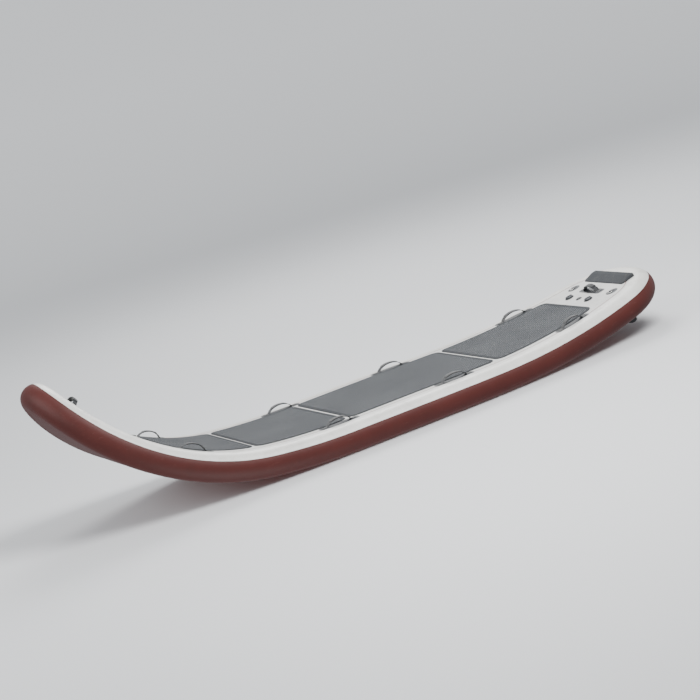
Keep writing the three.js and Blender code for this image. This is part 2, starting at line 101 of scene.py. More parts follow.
def half_width(s):
    """Half the board's width at s, which draws in to a round tail and to a longer, rounder nose."""
    if s > NOSE_FROM:
        share = min(1.0, (s - NOSE_FROM) / (LENGTH - NOSE_FROM))
        return WIDTH / 2 * math.sqrt(1 - share**SWELL_POWER)
    drawn = max(0.0, WIDEST_FROM - s) / WIDEST_FROM
    side = WIDTH / 2 * (1 - TAIL_DRAW_IN * drawn**SWELL_POWER)
    share = max(0.0, (TAIL_CORNER - s) / TAIL_CORNER)
    return side * (1 - share**TAIL_POWER) ** (1 / TAIL_POWER)


def arc(radius, first, last, steps):
    """Points of the rail's half-round section, each its inset from the outline and its height."""
    turns = [first + (last - first) * i / steps for i in range(steps + 1)]
    return [(RAIL_R - radius * math.cos(a), RAIL_R + radius * math.sin(a)) for a in turns]


def port_outline():
    """Stations along the port side, each s and y, and the way out from the board there."""
    tail = [i / TAIL_STEPS * QUARTER for i in range(TAIL_STEPS + 1)]
    stops = [TAIL_CORNER * (1 - math.cos(turn) ** (2 / TAIL_POWER)) for turn in tail]
    stops += [TAIL_CORNER + (NOSE_FROM - TAIL_CORNER) * i / SIDE_STEPS for i in range(1, SIDE_STEPS)]
    nose = [i / NOSE_STEPS * QUARTER for i in range(NOSE_STEPS + 1)]
    stops += [NOSE_FROM + (LENGTH - NOSE_FROM) * math.sin(turn) for turn in nose]
    stations, step = [], 1e-5
    for s in stops[1:-1]:
        slope = (half_width(s + step) - half_width(s - step)) / (2 * step)
        size = math.hypot(slope, 1)
        stations.append((s, half_width(s), -slope / size, 1 / size))
    return [(0.0, 0.0, -1.0, 0.0), *stations, (LENGTH, 0.0, 1.0, 0.0)]


# How far the pattern moves, so that the edge of the bent tail comes to its place in the frame
AFT = cad_box[0].x - min(bent(e, 0, t).x for e, t in arc(RAIL_R, -QUARTER, QUARTER, steps=12))
PORT = port_outline()
OUTLINE = PORT + [(s, -y, out_s, -out_y) for s, y, out_s, out_y in PORT[-2:0:-1]]
GIRTHS = [0.0]
for here, there in zip(OUTLINE, OUTLINE[1:] + OUTLINE[:1]):
    GIRTHS.append(GIRTHS[-1] + math.dist(here[:2], there[:2]))


def feed(tree, socket, value):
    """Links an input to another socket, or sets it to a value or to a colour's red, green and blue."""
    if isinstance(value, bpy.types.NodeSocket):
        tree.links.new(value, socket)
    else:
        socket.default_value = (*value, 1.0) if socket.type == "RGBA" else value


def drive(tree, target, **values):
    """Feeds the inputs of a node that have these names."""
    for label, value in values.items():
        feed(tree, target.inputs[label.replace("_", " ")], value)


def node(tree, kind, inputs=None, **settings):
    """A new shader node with its settings made and its inputs fed."""
    made = tree.nodes.new("ShaderNode" + kind)
    for key, value in settings.items():
        setattr(made, key, value)
    for key, value in (inputs or {}).items():
        feed(tree, made.inputs[key], value)
    return made


def math_node(tree, operation, a, b=0.0, c=0.0, clamp=False):
    return node(tree, "Math", {0: a, 1: b, 2: c}, operation=operation, use_clamp=clamp).outputs[0]


def mixed(tree, share, a, b):
    """A colour part of the way from a to b."""
    return node(tree, "Mix", {0: share, 6: a, 7: b}, data_type="RGBA").outputs[2]


def marked(tree, base, mask, share, colour):
    """A colour with marks of another on it, where a mask has them and as strong as a share of it."""
    return mixed(tree, math_node(tree, "MULTIPLY", mask, share), base, colour)


def darker(colour, share):
    return [c * share for c in colour]


def ranged(tree, value, low, high, to_low=0.0, to_high=1.0):
    sockets = {"Value": value, "From Min": low, "From Max": high, "To Min": to_low, "To Max": to_high}
    return node(tree, "MapRange", sockets).outputs[0]


def noise(tree, place, scale, detail, roughness=0.5):
    sockets = {"Vector": place, "Scale": scale, "Detail": detail, "Roughness": roughness}
    return node(tree, "TexNoise", sockets).outputs["Fac"]


def blotches(tree, place, scale, detail, roughness, low, high):
    """A mask of blotches: noise that is clear below the low value and full above the high one."""
    return ranged(tree, noise(tree, place, scale, detail, roughness), low, high)


def bumped(tree, height, distance, strength=1.0):
    sockets = {"Height": height, "Distance": distance, "Strength": strength}
    return node(tree, "Bump", sockets).outputs["Normal"]


def new_material(name, **values):
    made = bpy.data.materials.new(name)
    made.use_nodes = True
    shader = made.node_tree.nodes["Principled BSDF"]
    drive(made.node_tree, shader, **values)
    return made, made.node_tree, shader


def on_object(tree):
    """The object's own coordinates, in metres."""
    return node(tree, "TexCoord").outputs["Object"]


def on_strip(tree):
    """The piece's UV map, in metres along and across the strip or sheet that it is cut from."""
    return node(tree, "UVMap").outputs["UV"]


def new_group(name, inputs, masks):
    """A node group with inputs of each kind and the masks that it puts out."""
    group = bpy.data.node_groups.new(name, "ShaderNodeTree")
    for label, kind in inputs.items():
        group.interface.new_socket(label, in_out="INPUT", socket_type="NodeSocket" + kind)
    for label in masks:
        group.interface.new_socket(label, in_out="OUTPUT", socket_type="NodeSocketFloat")
    return group, group.nodes.new("NodeGroupInput").outputs, group.nodes.new("NodeGroupOutput")


def use_group(tree, group, **inputs):
    return node(tree, "Group", inputs, node_tree=group).outputs


cloth_inputs = {"Place": "Vector", "Pattern": "Vector", "Pitch": "Float"}
cloth_group, into, out = new_group("coated_cloth", cloth_inputs, ["Threads", "Mottle", "Scuff", "Grime"])
turns = math_node(cloth_group, "DIVIDE", 2 * math.pi, into["Pitch"])
ways = node(cloth_group, "SeparateXYZ", {0: into["Pattern"]}).outputs
waves = [math_node(cloth_group, "SINE", math_node(cloth_group, "MULTIPLY", way, turns)) for way in ways[:2]]
streaked = node(cloth_group, "Mapping", {"Vector": into["Place"], "Scale": (5.0, 60.0, 60.0)}).outputs[0]
drive(
    cloth_group,
    out,
    Threads=math_node(cloth_group, "MULTIPLY", *waves),
    Mottle=blotches(cloth_group, into["Place"], 3.5, 6.0, 0.62, 0.32, 0.68),
    Scuff=blotches(cloth_group, streaked, 1.0, 8.0, 0.70, 0.60, 0.74),
    Grime=blotches(cloth_group, into["Place"], 11.0, 9.0, 0.70, 0.50, 0.80),
)


def coated_cloth(name, colour, worn, stained, rough, pitch=0.0016, gloss=0.5, tied=0.0, spliced=None):
    """Polyester cloth with a skin of PVC, whose threads just show through. It is mottled, and use scuffs and
    stains it. It has a colour, what that rubs to and what stains it, how matt it is, its threads' pitch, how
    far the chamber's ties dimple it, and how far along its strip the ends lap over each other."""
    made, tree, shader = new_material(name, Specular_IOR_Level=gloss)
    place, pattern = on_object(tree), on_strip(tree)
    masks = use_group(tree, cloth_group, Place=place, Pattern=pattern, Pitch=pitch)
    base = mixed(tree, masks["Mottle"], darker(colour, MOTTLED), colour)
    base = marked(tree, base, masks["Scuff"], SCUFFED, worn)
    base = marked(tree, base, masks["Grime"], STAINED, stained)
    roughness = math_node(tree, "MULTIPLY_ADD", masks["Scuff"], SCUFF_ROUGH, rough)
    threads = math_node(tree, "MULTIPLY", masks["Threads"], THREAD_RELIEF)
    height = math_node(tree, "ADD", threads, noise(tree, place, 9.0, 2.0))
    if spliced:
        along = node(tree, "SeparateXYZ", {0: pattern}).outputs[0]
        apart = math_node(tree, "ABSOLUTE", math_node(tree, "SUBTRACT", along, spliced))
        lap = ranged(tree, apart, LAP_HALF, LAP_HALF + LAP_SLOPE, LAP_STEP, 0.0)
        height = math_node(tree, "ADD", lap, height)
        seam = math_node(tree, "ABSOLUTE", math_node(tree, "SUBTRACT", apart, SEAM_AT))
        base = mixed(tree, ranged(tree, seam, SEAM_HALF, SEAM_FADE, SEAM_STAIN, 0.0), base, stained)
    if tied:
        ties = use_group(tree, cloth_group, Place=place, Pattern=pattern, Pitch=TIE_PITCH)["Threads"]
        height = math_node(tree, "ADD", math_node(tree, "MULTIPLY", ties, tied), height)
    drive(tree, shader, Base_Color=base, Roughness=roughness, Normal=bumped(tree, height, CLOTH_RELIEF))
    return made


def inset(station, e, t):
    """A point that lies e in from a station of the outline, and t up."""
    s, y, out_s, out_y = OUTLINE[station]
    return Vector((s - out_s * e, y - out_y * e, t))


def edges_among(verts):
    """The edges that have both their ends among these vertices."""
    among = set(verts)
    return list(dict.fromkeys(e for v in verts for e in v.link_edges if e.other_vert(v) in among))


def pattern_layers(bm):
    """Layers for each vertex's number round its ring, and for how far along and across its strip it is."""
    layers = bm.verts.layers
    layers.int.new("order")
    layers.float.new("run")
    layers.float.new("across")
    return layers.int["order"], layers.float["run"], layers.float["across"]


def rings(bm, sides, order, capped=False):
    """Rings of vertices in their order. Each is extruded from the one before it, when it is asked for."""
    ring = bmesh.ops.create_circle(bm, cap_ends=capped, segments=sides, radius=1)["verts"]
    for j, v in enumerate(ring):
        v[order] = j
    edges = edges_among(ring)
    while True:
        yield ring
        made = bmesh.ops.extrude_edge_only(bm, edges=edges)["geom"]
        ring = sorted((g for g in made if isinstance(g, bmesh.types.BMVert)), key=lambda v: v[order])
        edges = [g for g in made if isinstance(g, bmesh.types.BMEdge)]


def skirt(bm, rows, shape=inset):
    """Rows round the outline, each extruded from the one before it. Returns their vertices."""
    order, run, _ = pattern_layers(bm)
    lines, reach = [], 0.0
    for k, (row, line) in enumerate(zip(rows, rings(bm, len(OUTLINE), order))):
        reach += math.dist(rows[max(0, k - 1)], row)
        for v in line:
            v.co = shape(v[order], *row)
            v[run] = reach
        lines.append(line)
    return lines


def close_across(bm, line):
    """Closes a line round the board with strips from side to side."""
    last = len(PORT) - 1
    sides = edges_among(line[1:last]) + edges_among(line[last + 1 :])
    faces = bmesh.ops.bridge_loops(bm, edges=sides)["faces"]
    for middle in (0, last):
        end = [line[middle - 1], line[middle], line[(middle + 1) % len(line)]]
        faces += bmesh.ops.contextual_create(bm, geom=end)["faces"]
    return faces


def map_flat(bm, faces=None, where=lambda v: (v.co.x, v.co.y)):
    """Gives faces a UV map in metres on the flat pattern, before the bend."""
    layer = bm.loops.layers.uv.verify()
    for face in faces or bm.faces:
        for loop in face.loops:
            loop[layer].uv = where(loop.vert)


def map_round(bm, faces):
    """The same for faces round the rail: along the outline, and round the section."""
    layer = bm.loops.layers.uv.verify()
    order, run = bm.verts.layers.int["order"], bm.verts.layers.float["run"]
    for face in faces:
        wraps = {0, len(OUTLINE) - 1} <= {v[order] for v in face.verts}
        for loop in face.loops:
            j = loop.vert[order]
            loop[layer].uv = (GIRTHS[-1] if wraps and j == 0 else GIRTHS[j], loop.vert[run])


def new_object(name, data):
    made = bpy.data.objects.new(name, data)
    bpy.context.scene.collection.objects.link(made)
    return made


def smooth_mesh(bm, name, materials):
    mesh = bpy.data.meshes.new(name)
    bm.to_mesh(mesh)
    bm.free()
    mesh.shade_smooth()
    for material in materials:
        mesh.materials.append(material)
    return mesh


def finish_piece(bm, name, materials, slot, body="board", replaces=(), crease=35):
    """Makes the mesh an object, smooth except at its creases, hangs it on its body and hides the solids that
    it replaces.
    """
    bmesh.ops.recalc_face_normals(bm, faces=bm.faces)
    mesh = smooth_mesh(bm, name, materials)
    mesh.set_sharp_from_angle(angle=math.radians(crease))
    made = new_object(name, mesh)
    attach(made, body)
    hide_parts(*replaces)
    return made


def finish_bent(bm, *said, **more):
    """The same for a piece that is made on the flat pattern, once it is bent to the rocker."""
    for v in bm.verts:
        v.co = bent(*v.co, AFT)
    return finish_piece(bm, *said, **more)


bottom_cloth = coated_cloth("bottom_cloth", RED, RUBBED_RED, DULL_RED, 0.5, gloss=0.3, tied=0.05)

bm = bmesh.new()
rows = [(DECK_INSET, 0.0), (DECK_INSET, SKIN + GAP)]
rows += [*arc(CORE_R, -QUARTER, QUARTER, steps=20), (DECK_INSET, THICK - SKIN - GAP)]
lines = skirt(bm, rows)
map_round(bm, list(bm.faces))
for line in (lines[0], lines[-1]):
    map_flat(bm, close_across(bm, line))
chamber = finish_bent(bm, "chamber", [bottom_cloth], "hull_pvc", replaces=["hull"])

# Rail tapes: two bands of double cloth glued round the side, white above and dark red below, that meet high
# on the rail. Their laps run 40 mm onto deck and bottom, and pucker where the outline curves.
JOINT_AT, JOINT_HALF = math.radians(30), math.radians(0.2)
LAP_TO, LAP_RISE, LAP_SUNK = DECK_INSET + 0.0022, 0.0009, 0.0004
LAP_SECTION = [
    # how far in from the outline, share of the lap's rise
    (LAP_TO, 0.6),
    (LAP_TO - 0.0005, 1.0),
    (DECK_INSET - 0.012, 0.7),
    (DECK_INSET - 0.026, 0.2),
]
RAIL_STEPS, SPLICE_AT = 14, 0.30
PUCKER_FROM, PUCKER, PUCKER_LOW = RAIL_R * 0.6, 0.0009, -0.55
NOSE_CURVE, NOSE_CURVE_OVER, TAIL_CURVE, TAIL_CURVE_OVER = 3.6, 1.1, 0.62, 0.3
WHITE, CHALK, SILT = (0.80, 0.79, 0.75), (0.62, 0.60, 0.56), (0.20, 0.16, 0.11)

# Each ripple along the laps: how fast it turns for each metre of the outline, where it starts, and its size
random.seed(5)
limits = [(90, 210), (0, 2 * math.pi), (0.5, 1.0)]
ripples = [[random.uniform(*limit) for limit in limits] for _ in range(7)]

splice = GIRTHS[-1] - SPLICE_AT
red_cloth = coated_cloth("red_cloth", RED, RUBBED_RED, DULL_RED, 0.5, gloss=0.3, spliced=splice)
white_cloth = coated_cloth("white_cloth", WHITE, CHALK, SILT, 0.36, spliced=SPLICE_AT)


def curving(station):
    """How tightly the outline turns at a station, from 0 on the sides to 1 at the tail and the nose."""
    s = OUTLINE[station][0]
    return min(1.0, max(0.0, (s - NOSE_CURVE) / NOSE_CURVE_OVER, (TAIL_CURVE - s) / TAIL_CURVE_OVER))


def puckered(station, e, t):
    """A point of a tape's section, off the deck or the bottom by as much as the lap puckers there."""
    share = max(0.0, (e - PUCKER_FROM) / (LAP_TO - PUCKER_FROM)) * curving(station)
    wave = sum(size * math.sin(turn * GIRTHS[station] + start) for turn, start, size in ripples) / 4
    lift = PUCKER * share * max(PUCKER_LOW, wave)
    return inset(station, e, t + (lift if t > RAIL_R else -lift))


def rail_tape(name, material, slot, first, flip, replaces):
    """A tape from its lap on the deck round to the joint, or turned over for the bottom's."""
    steps = round(RAIL_STEPS * (QUARTER - first) / QUARTER)
    outer = [(LAP_TO, THICK - LAP_SUNK), *((e, THICK + LAP_RISE * share) for e, share in LAP_SECTION)]
    outer += arc(RAIL_R, QUARTER, first, steps)
    under = DECK_INSET - SKIN
    section = outer + arc(RAIL_R - SKIN, first, QUARTER, steps)
    section += [(under, THICK - SKIN), (under, THICK - LAP_SUNK)]
    if flip:
        section = [(e, THICK - t) for e, t in section]
    tape = bmesh.new()
    lines = skirt(tape, section, puckered)
    bmesh.ops.bridge_loops(tape, edges=edges_among(lines[0]) + edges_among(lines[-1]))
    map_round(tape, list(tape.faces))
    finish_bent(tape, name, [material], slot, replaces=[replaces])


rail_tape("tape_white", white_cloth, "rail_pvc", JOINT_AT + JOINT_HALF, False, "rail_tape_upper")
rail_tape("tape_red", red_cloth, "hull_pvc", JOINT_HALF - JOINT_AT, True, "rail_tape_lower")

# Deck sheet: a second layer of off-white cloth laminated over the top of the core, between the rail tapes,
# with a thin dark red coach line printed round its edge.
STRIPE_FROM, STRIPE_TO = 0.166, 0.174
DECK_WHITE, STRIPE_RED = (0.66, 0.655, 0.63), (0.20, 0.035, 0.026)

deck_cloth = coated_cloth("deck_cloth", DECK_WHITE, CHALK, SILT, 0.5, pitch=0.002, tied=0.05)
stripe_cloth = coated_cloth("stripe_cloth", STRIPE_RED, CHALK, SILT, 0.42)

bm = bmesh.new()
rows = [(DECK_INSET, THICK - SKIN), (DECK_INSET, THICK), (STRIPE_FROM, THICK), (STRIPE_TO, THICK)]
lines = skirt(bm, rows)
stripe = set(lines[2]) | set(lines[3])
for line in (lines[0], lines[-1]):
    close_across(bm, line)
for face in bm.faces:
    face.material_index = 1 if set(face.verts) <= stripe and set(face.verts) & set(lines[2]) else 0
map_flat(bm)
finish_bent(bm, "deck_cover", [deck_cloth, stripe_cloth], "deck_pvc", replaces=["deck_sheet"])

# Foam deck pads: four sheets of closed-cell foam glued on end to end. A smooth band runs round each, and
# diamonds are routed through the dark top layer into the pale one under it, for grip and to drain the water.
GLUE, PAD_H, PAD_EDGE, PAD_INSET, PAD_CORNER = 0.0001, 0.0053, 0.0012, 0.232, 0.060
PAD_BAND, GROOVE, GROOVE_WALL, GROOVE_DEPTH = 0.030, 0.0013, 0.0006, 0.0018
DIAMOND, DIAMOND_LEAN = 0.028, math.radians(31)
NARROWEST, SHORTEST, STRAIGHT = 0.0022, 0.0060, 3.0
OUTLINE_STEP, CORNER_STEPS, BEND_STEP = 0.02, 10, 0.025
GRITTED, GRIT_ROUGH, FOAM_ROUGH, PITTED, PORE_DARK, PORE = 0.16, 0.06, 0.86, 0.25, 0.4, 0.0009
DARK_FOAM, FADED_DARK, DRY_SALT = (0.036, 0.039, 0.044), (0.052, 0.056, 0.061), (0.26, 0.24, 0.20)
PALE_FOAM, FADED_PALE, WET_SAND = (0.235, 0.245, 0.255), (0.30, 0.31, 0.32), (0.22, 0.19, 0.15)
PADS = [
    # name, from and to along the board
    ("deck_pad_rear", 0.640, 1.540),
    ("deck_pad_middle", 1.562, 2.726),
    ("deck_pad_front", 2.748, 3.450),
    ("deck_pad_bow", 3.472, 4.180),
]


def cut_outline(start, stop, corner, half, middle=lambda s: 0.0):
    """The outline of a sheet with round corners, as s and y, from half its width and its middle at s."""
    turns = [i / CORNER_STEPS * QUARTER for i in range(CORNER_STEPS + 1)]
    ends = [(corner * (1 - math.cos(turn)), corner * (1 - math.sin(turn))) for turn in turns]
    reach = stop - start - 2 * corner
    count = max(1, round(reach / OUTLINE_STEP))
    line = [(start + along, drop) for along, drop in ends]
    line += [(start + corner + reach * i / count, 0.0) for i in range(1, count)]
    line += [(stop - along, drop) for along, drop in reversed(ends)]
    starboard = [(s, middle(s) - half(s) + drop) for s, drop in line]
    port = [(s, middle(s) + half(s) - drop) for s, drop in line]
    return starboard + port[::-1]


def draw_in(bm, face, width, rise=0.0):
    """Draws a face in by a width and up by a rise. Returns the faces of the band that is left round it."""
    made = bmesh.ops.inset_region(bm, faces=[face], thickness=width, depth=rise, use_even_offset=True)
    return made["faces"]


def cut_sheet(bm, outline, high, edge):
    """A flat sheet on the deck, cut to an outline and rounded off on top. Returns its top and bottom."""
    rim = bmesh.ops.create_circle(bm, cap_ends=True, segments=len(outline), radius=1)["verts"]
    for v, (s, y) in zip(rim, outline):
        v.co = (s, y, THICK + high - edge)
    top = rim[0].link_faces[0]
    top.normal_update()
    if top.normal.z < 0:
        top.normal_flip()
    made = bmesh.ops.extrude_edge_only(bm, edges=edges_among(rim))["geom"]
    foot = [g for g in made if isinstance(g, bmesh.types.BMVert)]
    for v in foot:
        v.co.z = THICK + GLUE
    bottom = bmesh.ops.contextual_create(bm, geom=edges_among(foot))["faces"][0]
    for width, rise in ((0.3, 0.7), (0.7, 0.3)):
        draw_in(bm, top, edge * width, edge * rise)
    return top, bottom


def cut_across(bm, faces, place, across):
    """Cuts faces along the upright plane through a place that a direction crosses."""
    geom = dict.fromkeys(g for face in faces for g in (face, *face.edges, *face.verts))
    bmesh.ops.bisect_plane(bm, geom=list(geom), plane_co=place, plane_no=across, dist=1e-7)


def cut_often(bm, faces, start, stop, step):
    """Cuts faces across the board at even steps, so that they can follow the rocker."""
    count = max(1, round((stop - start) / step))
    for i in range(1, count):
        known = {*bm.faces} - {*faces}
        cut_across(bm, faces, (start + (stop - start) * i / count, 0, 0), (1, 0, 0))
        faces = [face for face in bm.faces if face not in known]


foam_group, into, out = new_group("closed_cell_foam", {"Place": "Vector"}, ["Cells", "Fade", "Dust"])
pores = node(foam_group, "TexVoronoi", {"Vector": into["Place"], "Scale": 1100.0, "Randomness": 0.9})
brushed = noise(foam_group, into["Place"], 380.0, 4.0)
drive(
    foam_group,
    out,
    Cells=math_node(foam_group, "MULTIPLY", pores.outputs["Distance"], brushed),
    Fade=blotches(foam_group, into["Place"], 2.6, 7.0, 0.65, 0.34, 0.66),
    Dust=blotches(foam_group, into["Place"], 24.0, 10.0, 0.72, 0.52, 0.74),
)


def foam(name, colour, faded, gritty):
    """Closed-cell foam: its colour, what the sun fades it to, and the salt and sand rubbed into it."""
    made, tree, shader = new_material(name, Specular_IOR_Level=0.32)
    masks = use_group(tree, foam_group, Place=on_object(tree))
    base = mixed(tree, masks["Fade"], colour, faded)
    base = marked(tree, base, masks["Dust"], GRITTED, gritty)
    base = marked(tree, base, masks["Cells"], PITTED, darker(colour, PORE_DARK))
    rough = math_node(tree, "MULTIPLY_ADD", masks["Dust"], GRIT_ROUGH, FOAM_ROUGH)
    drive(tree, shader, Base_Color=base, Roughness=rough, Normal=bumped(tree, masks["Cells"], PORE, 0.8))
    return made


foam_top = foam("foam_top", DARK_FOAM, FADED_DARK, DRY_SALT)
foam_groove = foam("foam_groove", PALE_FOAM, FADED_PALE, WET_SAND)


def lost_edge(face):
    """The shortest edge that a face loses, or that turns over, when it is drawn in by a groove's width."""
    drawn = [(GROOVE + GROOVE_WALL) / math.tan(max(0.01, loop.calc_angle() / 2)) for loop in face.loops]
    lost = [
        loop.edge
        for loop, here, there in zip(face.loops, drawn, drawn[1:] + drawn[:1])
        if loop.edge.calc_length() <= here + there or not loop.is_convex and loop.calc_angle() < STRAIGHT
    ]
    return min(lost, key=lambda edge: edge.calc_length(), default=None)


def draw_each_in(bm, faces, width, rise=0.0):
    bmesh.ops.inset_individual(bm, faces=faces, thickness=width, depth=rise, use_even_offset=True)


def routed_floor(bm):
    """The level faces of the pale layer."""
    return [face for face in bm.faces if face.material_index and abs(face.normal.z) > 0.9]


for name, start, stop in PADS:
    bm = bmesh.new()
    outline = cut_outline(start, stop, PAD_CORNER, lambda s: half_width(s) - PAD_INSET)
    field, bottom = cut_sheet(bm, outline, PAD_H, PAD_EDGE)
    cut_often(bm, [bottom], start, stop, BEND_STEP)
    draw_in(bm, field, PAD_BAND)
    for face in [*draw_in(bm, field, GROOVE_WALL, -GROOVE_DEPTH), field]:
        face.material_index = 1
    middle = Vector(((start + stop) / 2, 0, THICK + PAD_H - GROOVE_DEPTH))
    corners = [v.co - middle for v in field.verts]
    for lean in (-1, 1):
        across = Vector((math.sin(DIAMOND_LEAN), lean * math.cos(DIAMOND_LEAN), 0))
        far = [corner.dot(across) / DIAMOND - 0.5 for corner in corners]
        for k in range(math.ceil(min(far)), math.ceil(max(far))):
            cut_across(bm, routed_floor(bm), middle + across * (k + 0.5) * DIAMOND, across)
    for _ in range(3):
        cramped = dict.fromkeys(lost_edge(face) for face in routed_floor(bm))
        bmesh.ops.collapse(bm, edges=[edge for edge in cramped if edge and edge.calc_length() < SHORTEST])
    tops = routed_floor(bm)
    tiles = [face for face in tops if not lost_edge(face)]
    tiles = [face for face in tiles if 2 * face.calc_area() / face.calc_perimeter() > NARROWEST]
    draw_each_in(bm, tiles, GROOVE)
    draw_each_in(bm, tiles, GROOVE_WALL, GROOVE_DEPTH)
    for face in tops:
        face.material_index = 0
    pad = finish_bent(bm, f"foam_{name}", [foam_top, foam_groove], "deck_foam", replaces=[name])

# Kick pad: a moulded wedge of the same foam across the tail, which the steering crew's back foot braces on.
# It is highest along its aft edge, and fine ribs run across it.
KICK_FROM, KICK_TO, KICK_HALF, KICK_CORNER = 0.172, 0.300, 0.300, 0.020
KICK_RIDGE, KICK_LOW, KICK_HIGH, KICK_BASE, KICK_EDGE = 0.044, 0.0065, 0.0255, 0.002, 0.0008
KICK_ROLL, ROLL_STEPS = 0.010, 4
RIB_PITCH, RIB, RIB_STEPS = 0.0085, 0.0006, 6

bm = bmesh.new()
outline = cut_outline(KICK_FROM, KICK_TO, KICK_CORNER, lambda s: KICK_HALF)
top, _ = cut_sheet(bm, outline, KICK_BASE + 0.001, KICK_EDGE)
for _ in range(ROLL_STEPS):
    draw_in(bm, top, KICK_ROLL / ROLL_STEPS)
cut_often(bm, bm.faces, KICK_FROM, KICK_TO, RIB_PITCH / RIB_STEPS)
for v in bm.verts:
    if v.co.z < THICK + KICK_BASE:
        continue
    corner_s = abs(v.co.x - (KICK_FROM + KICK_TO) / 2) - (KICK_TO - KICK_FROM) / 2 + KICK_CORNER
    corner_y = abs(v.co.y) - KICK_HALF + KICK_CORNER
    past = math.hypot(max(corner_s, 0), max(corner_y, 0)) + min(max(corner_s, corner_y), 0)
    inside = min(KICK_ROLL, max(0.0, KICK_CORNER - past))
    rolled = KICK_ROLL - math.sqrt(KICK_ROLL**2 - (KICK_ROLL - inside) ** 2)
    fall = (KICK_HIGH - KICK_LOW) / (KICK_TO - KICK_FROM - KICK_RIDGE)
    high = KICK_HIGH - max(0.0, v.co.x - KICK_FROM - KICK_RIDGE) * fall
    rib = RIB * (0.5 + 0.5 * math.cos((v.co.x - KICK_FROM) / RIB_PITCH * 2 * math.pi)) * inside / KICK_ROLL
    v.co.z = THICK + max(KICK_BASE, high - rolled * min(1.0, high / KICK_ROLL * 0.8) - rib)
kick_pad = finish_bent(bm, "foam_kick_pad", [foam_top], "deck_foam", replaces=["kick_pad"], crease=50)

# Carry handles: eight along the sides and one at each end. Each is a strap of nylon webbing, sewn to a patch
# of reinforced cloth that is welded to the deck, and it arches over the hand inside a padded rubber sleeve.
STRAP_THICK, STRAP_LOW, STRAP_ARCH = 0.0026, 0.0018, 0.092
SLEEVE_REACH, SLEEVE_THICK, SLEEVE_WIDER, SLEEVE_RISE = 0.062, 0.0086, 0.004, 0.0026
SLEEVE_STEPS, SLEEVE_TAPER, SLEEVE_SLIM, SLEEVE_RIB, SLEEVE_RIBS = 36, 0.16, 0.52, 0.015, 40
STITCH, STITCH_R, STITCH_STEP = 0.0026, 0.00038, 0.0036
SEWN_FROM, SEWN_TO, SEWN_IN = 0.101, 0.131, 0.004
PATCH_H, PATCH_FLAT, PATCH_EDGE, RIDGE_WIDTH, PATCH_STEP = 0.0015, 0.0009, 0.0004, 0.0012, 0.012
HANDLE_INSET, SIDE_WIDTH, SIDE_RISE, END_WIDTH = 0.187, 0.050, 0.040, 0.040
SIDE_PATCH, SIDE_PATCH_HALF, SIDE_PATCH_CORNER = 0.155, 0.042, 0.030
END_PATCH, END_PATCH_HALF, END_PATCH_CORNER = 0.036, 0.160, 0.024
SIDE_HANDLES = {"stern": 0.87752, "aft": 1.92841, "fore": 2.83564, "bow": 3.96462}
END_HANDLES = {"nose": (4.84433, 0.054), "tail": (0.41028, 0.040)}
# Half of a strap's middle line, from the end of its foot to near its top
STRAP_POINTS = [0.1345, 0.118, 0.096, 0.0895, 0.085, 0.078, 0.070, 0.060, 0.045, 0.030, 0.014]
# The first is the share of a weave's colour left in its hollows, where shade is painted; then lint and
# roughness
WEAVE_HOLLOW_SHADE, LINTED, LINT_ROUGH, FUZZ_ROUGH = 0.55, 0.45, 0.12, 0.45
PATCH_GREY, PATCH_WORN, PATCH_SILT = (0.050, 0.054, 0.060), (0.16, 0.16, 0.16), (0.16, 0.14, 0.11)
NYLON_GREY, KNIT_BLACK, THREAD_GREY = (0.040, 0.042, 0.046), (0.026, 0.027, 0.029), (0.42, 0.41, 0.39)
NYLON_LINT, KNIT_LINT, THREAD_LINT = (0.17, 0.16, 0.14), (0.12, 0.115, 0.105), (0.20, 0.18, 0.15)

patch_cloth = coated_cloth("patch_cloth", PATCH_GREY, PATCH_WORN, PATCH_SILT, 0.5, pitch=0.0013)


def woven(name, colour, worn, pitch, depth, rough, sheen):
    """A woven strap or knit: threads that cross at an even pitch, with painted shade in the hollows between
    them where the bump sinks, and lint and salt caught between them.
    """
    fuzz = {"Sheen_Weight": sheen, "Sheen_Roughness": FUZZ_ROUGH}
    made, tree, shader = new_material(name, Specular_IOR_Level=0.35, **fuzz)
    place, pattern = on_object(tree), on_strip(tree)
    masks = use_group(tree, cloth_group, Place=place, Pattern=pattern, Pitch=pitch)
    # Painted shade: the weave's hollows, where its bump is low, are darkened towards this colour
    hollow_shade = darker(colour, WEAVE_HOLLOW_SHADE)
    base = mixed(tree, ranged(tree, masks["Threads"], -1.0, 1.0), hollow_shade, colour)
    base = marked(tree, base, masks["Grime"], LINTED, worn)
    roughness = math_node(tree, "MULTIPLY_ADD", masks["Mottle"], LINT_ROUGH, rough)
    drive(tree, shader, Base_Color=base, Roughness=roughness, Normal=bumped(tree, masks["Threads"], depth))
    return made


webbing = woven("nylon_webbing", NYLON_GREY, NYLON_LINT, pitch=0.0030, depth=0.0003, rough=0.68, sheen=0.25)
neoprene = woven("neoprene", KNIT_BLACK, KNIT_LINT, pitch=0.0014, depth=0.00012, rough=0.78, sheen=0.45)
thread = woven("thread", THREAD_GREY, THREAD_LINT, pitch=0.0006, depth=0.0001, rough=0.6, sheen=0.3)


def pressed(value, power):
    """A sine or cosine of a section's turn, pressed out so that the round comes nearer to a flat strap."""
    return math.copysign(abs(value) ** power, value) if abs(value) > 1e-9 else 0.0


def close_ends(bm, drawn):
    """Closes the first and the last of the rings that a piece is drawn in."""
    for end in (drawn[0], drawn[-1]):
        bmesh.ops.contextual_create(bm, geom=edges_among(end))


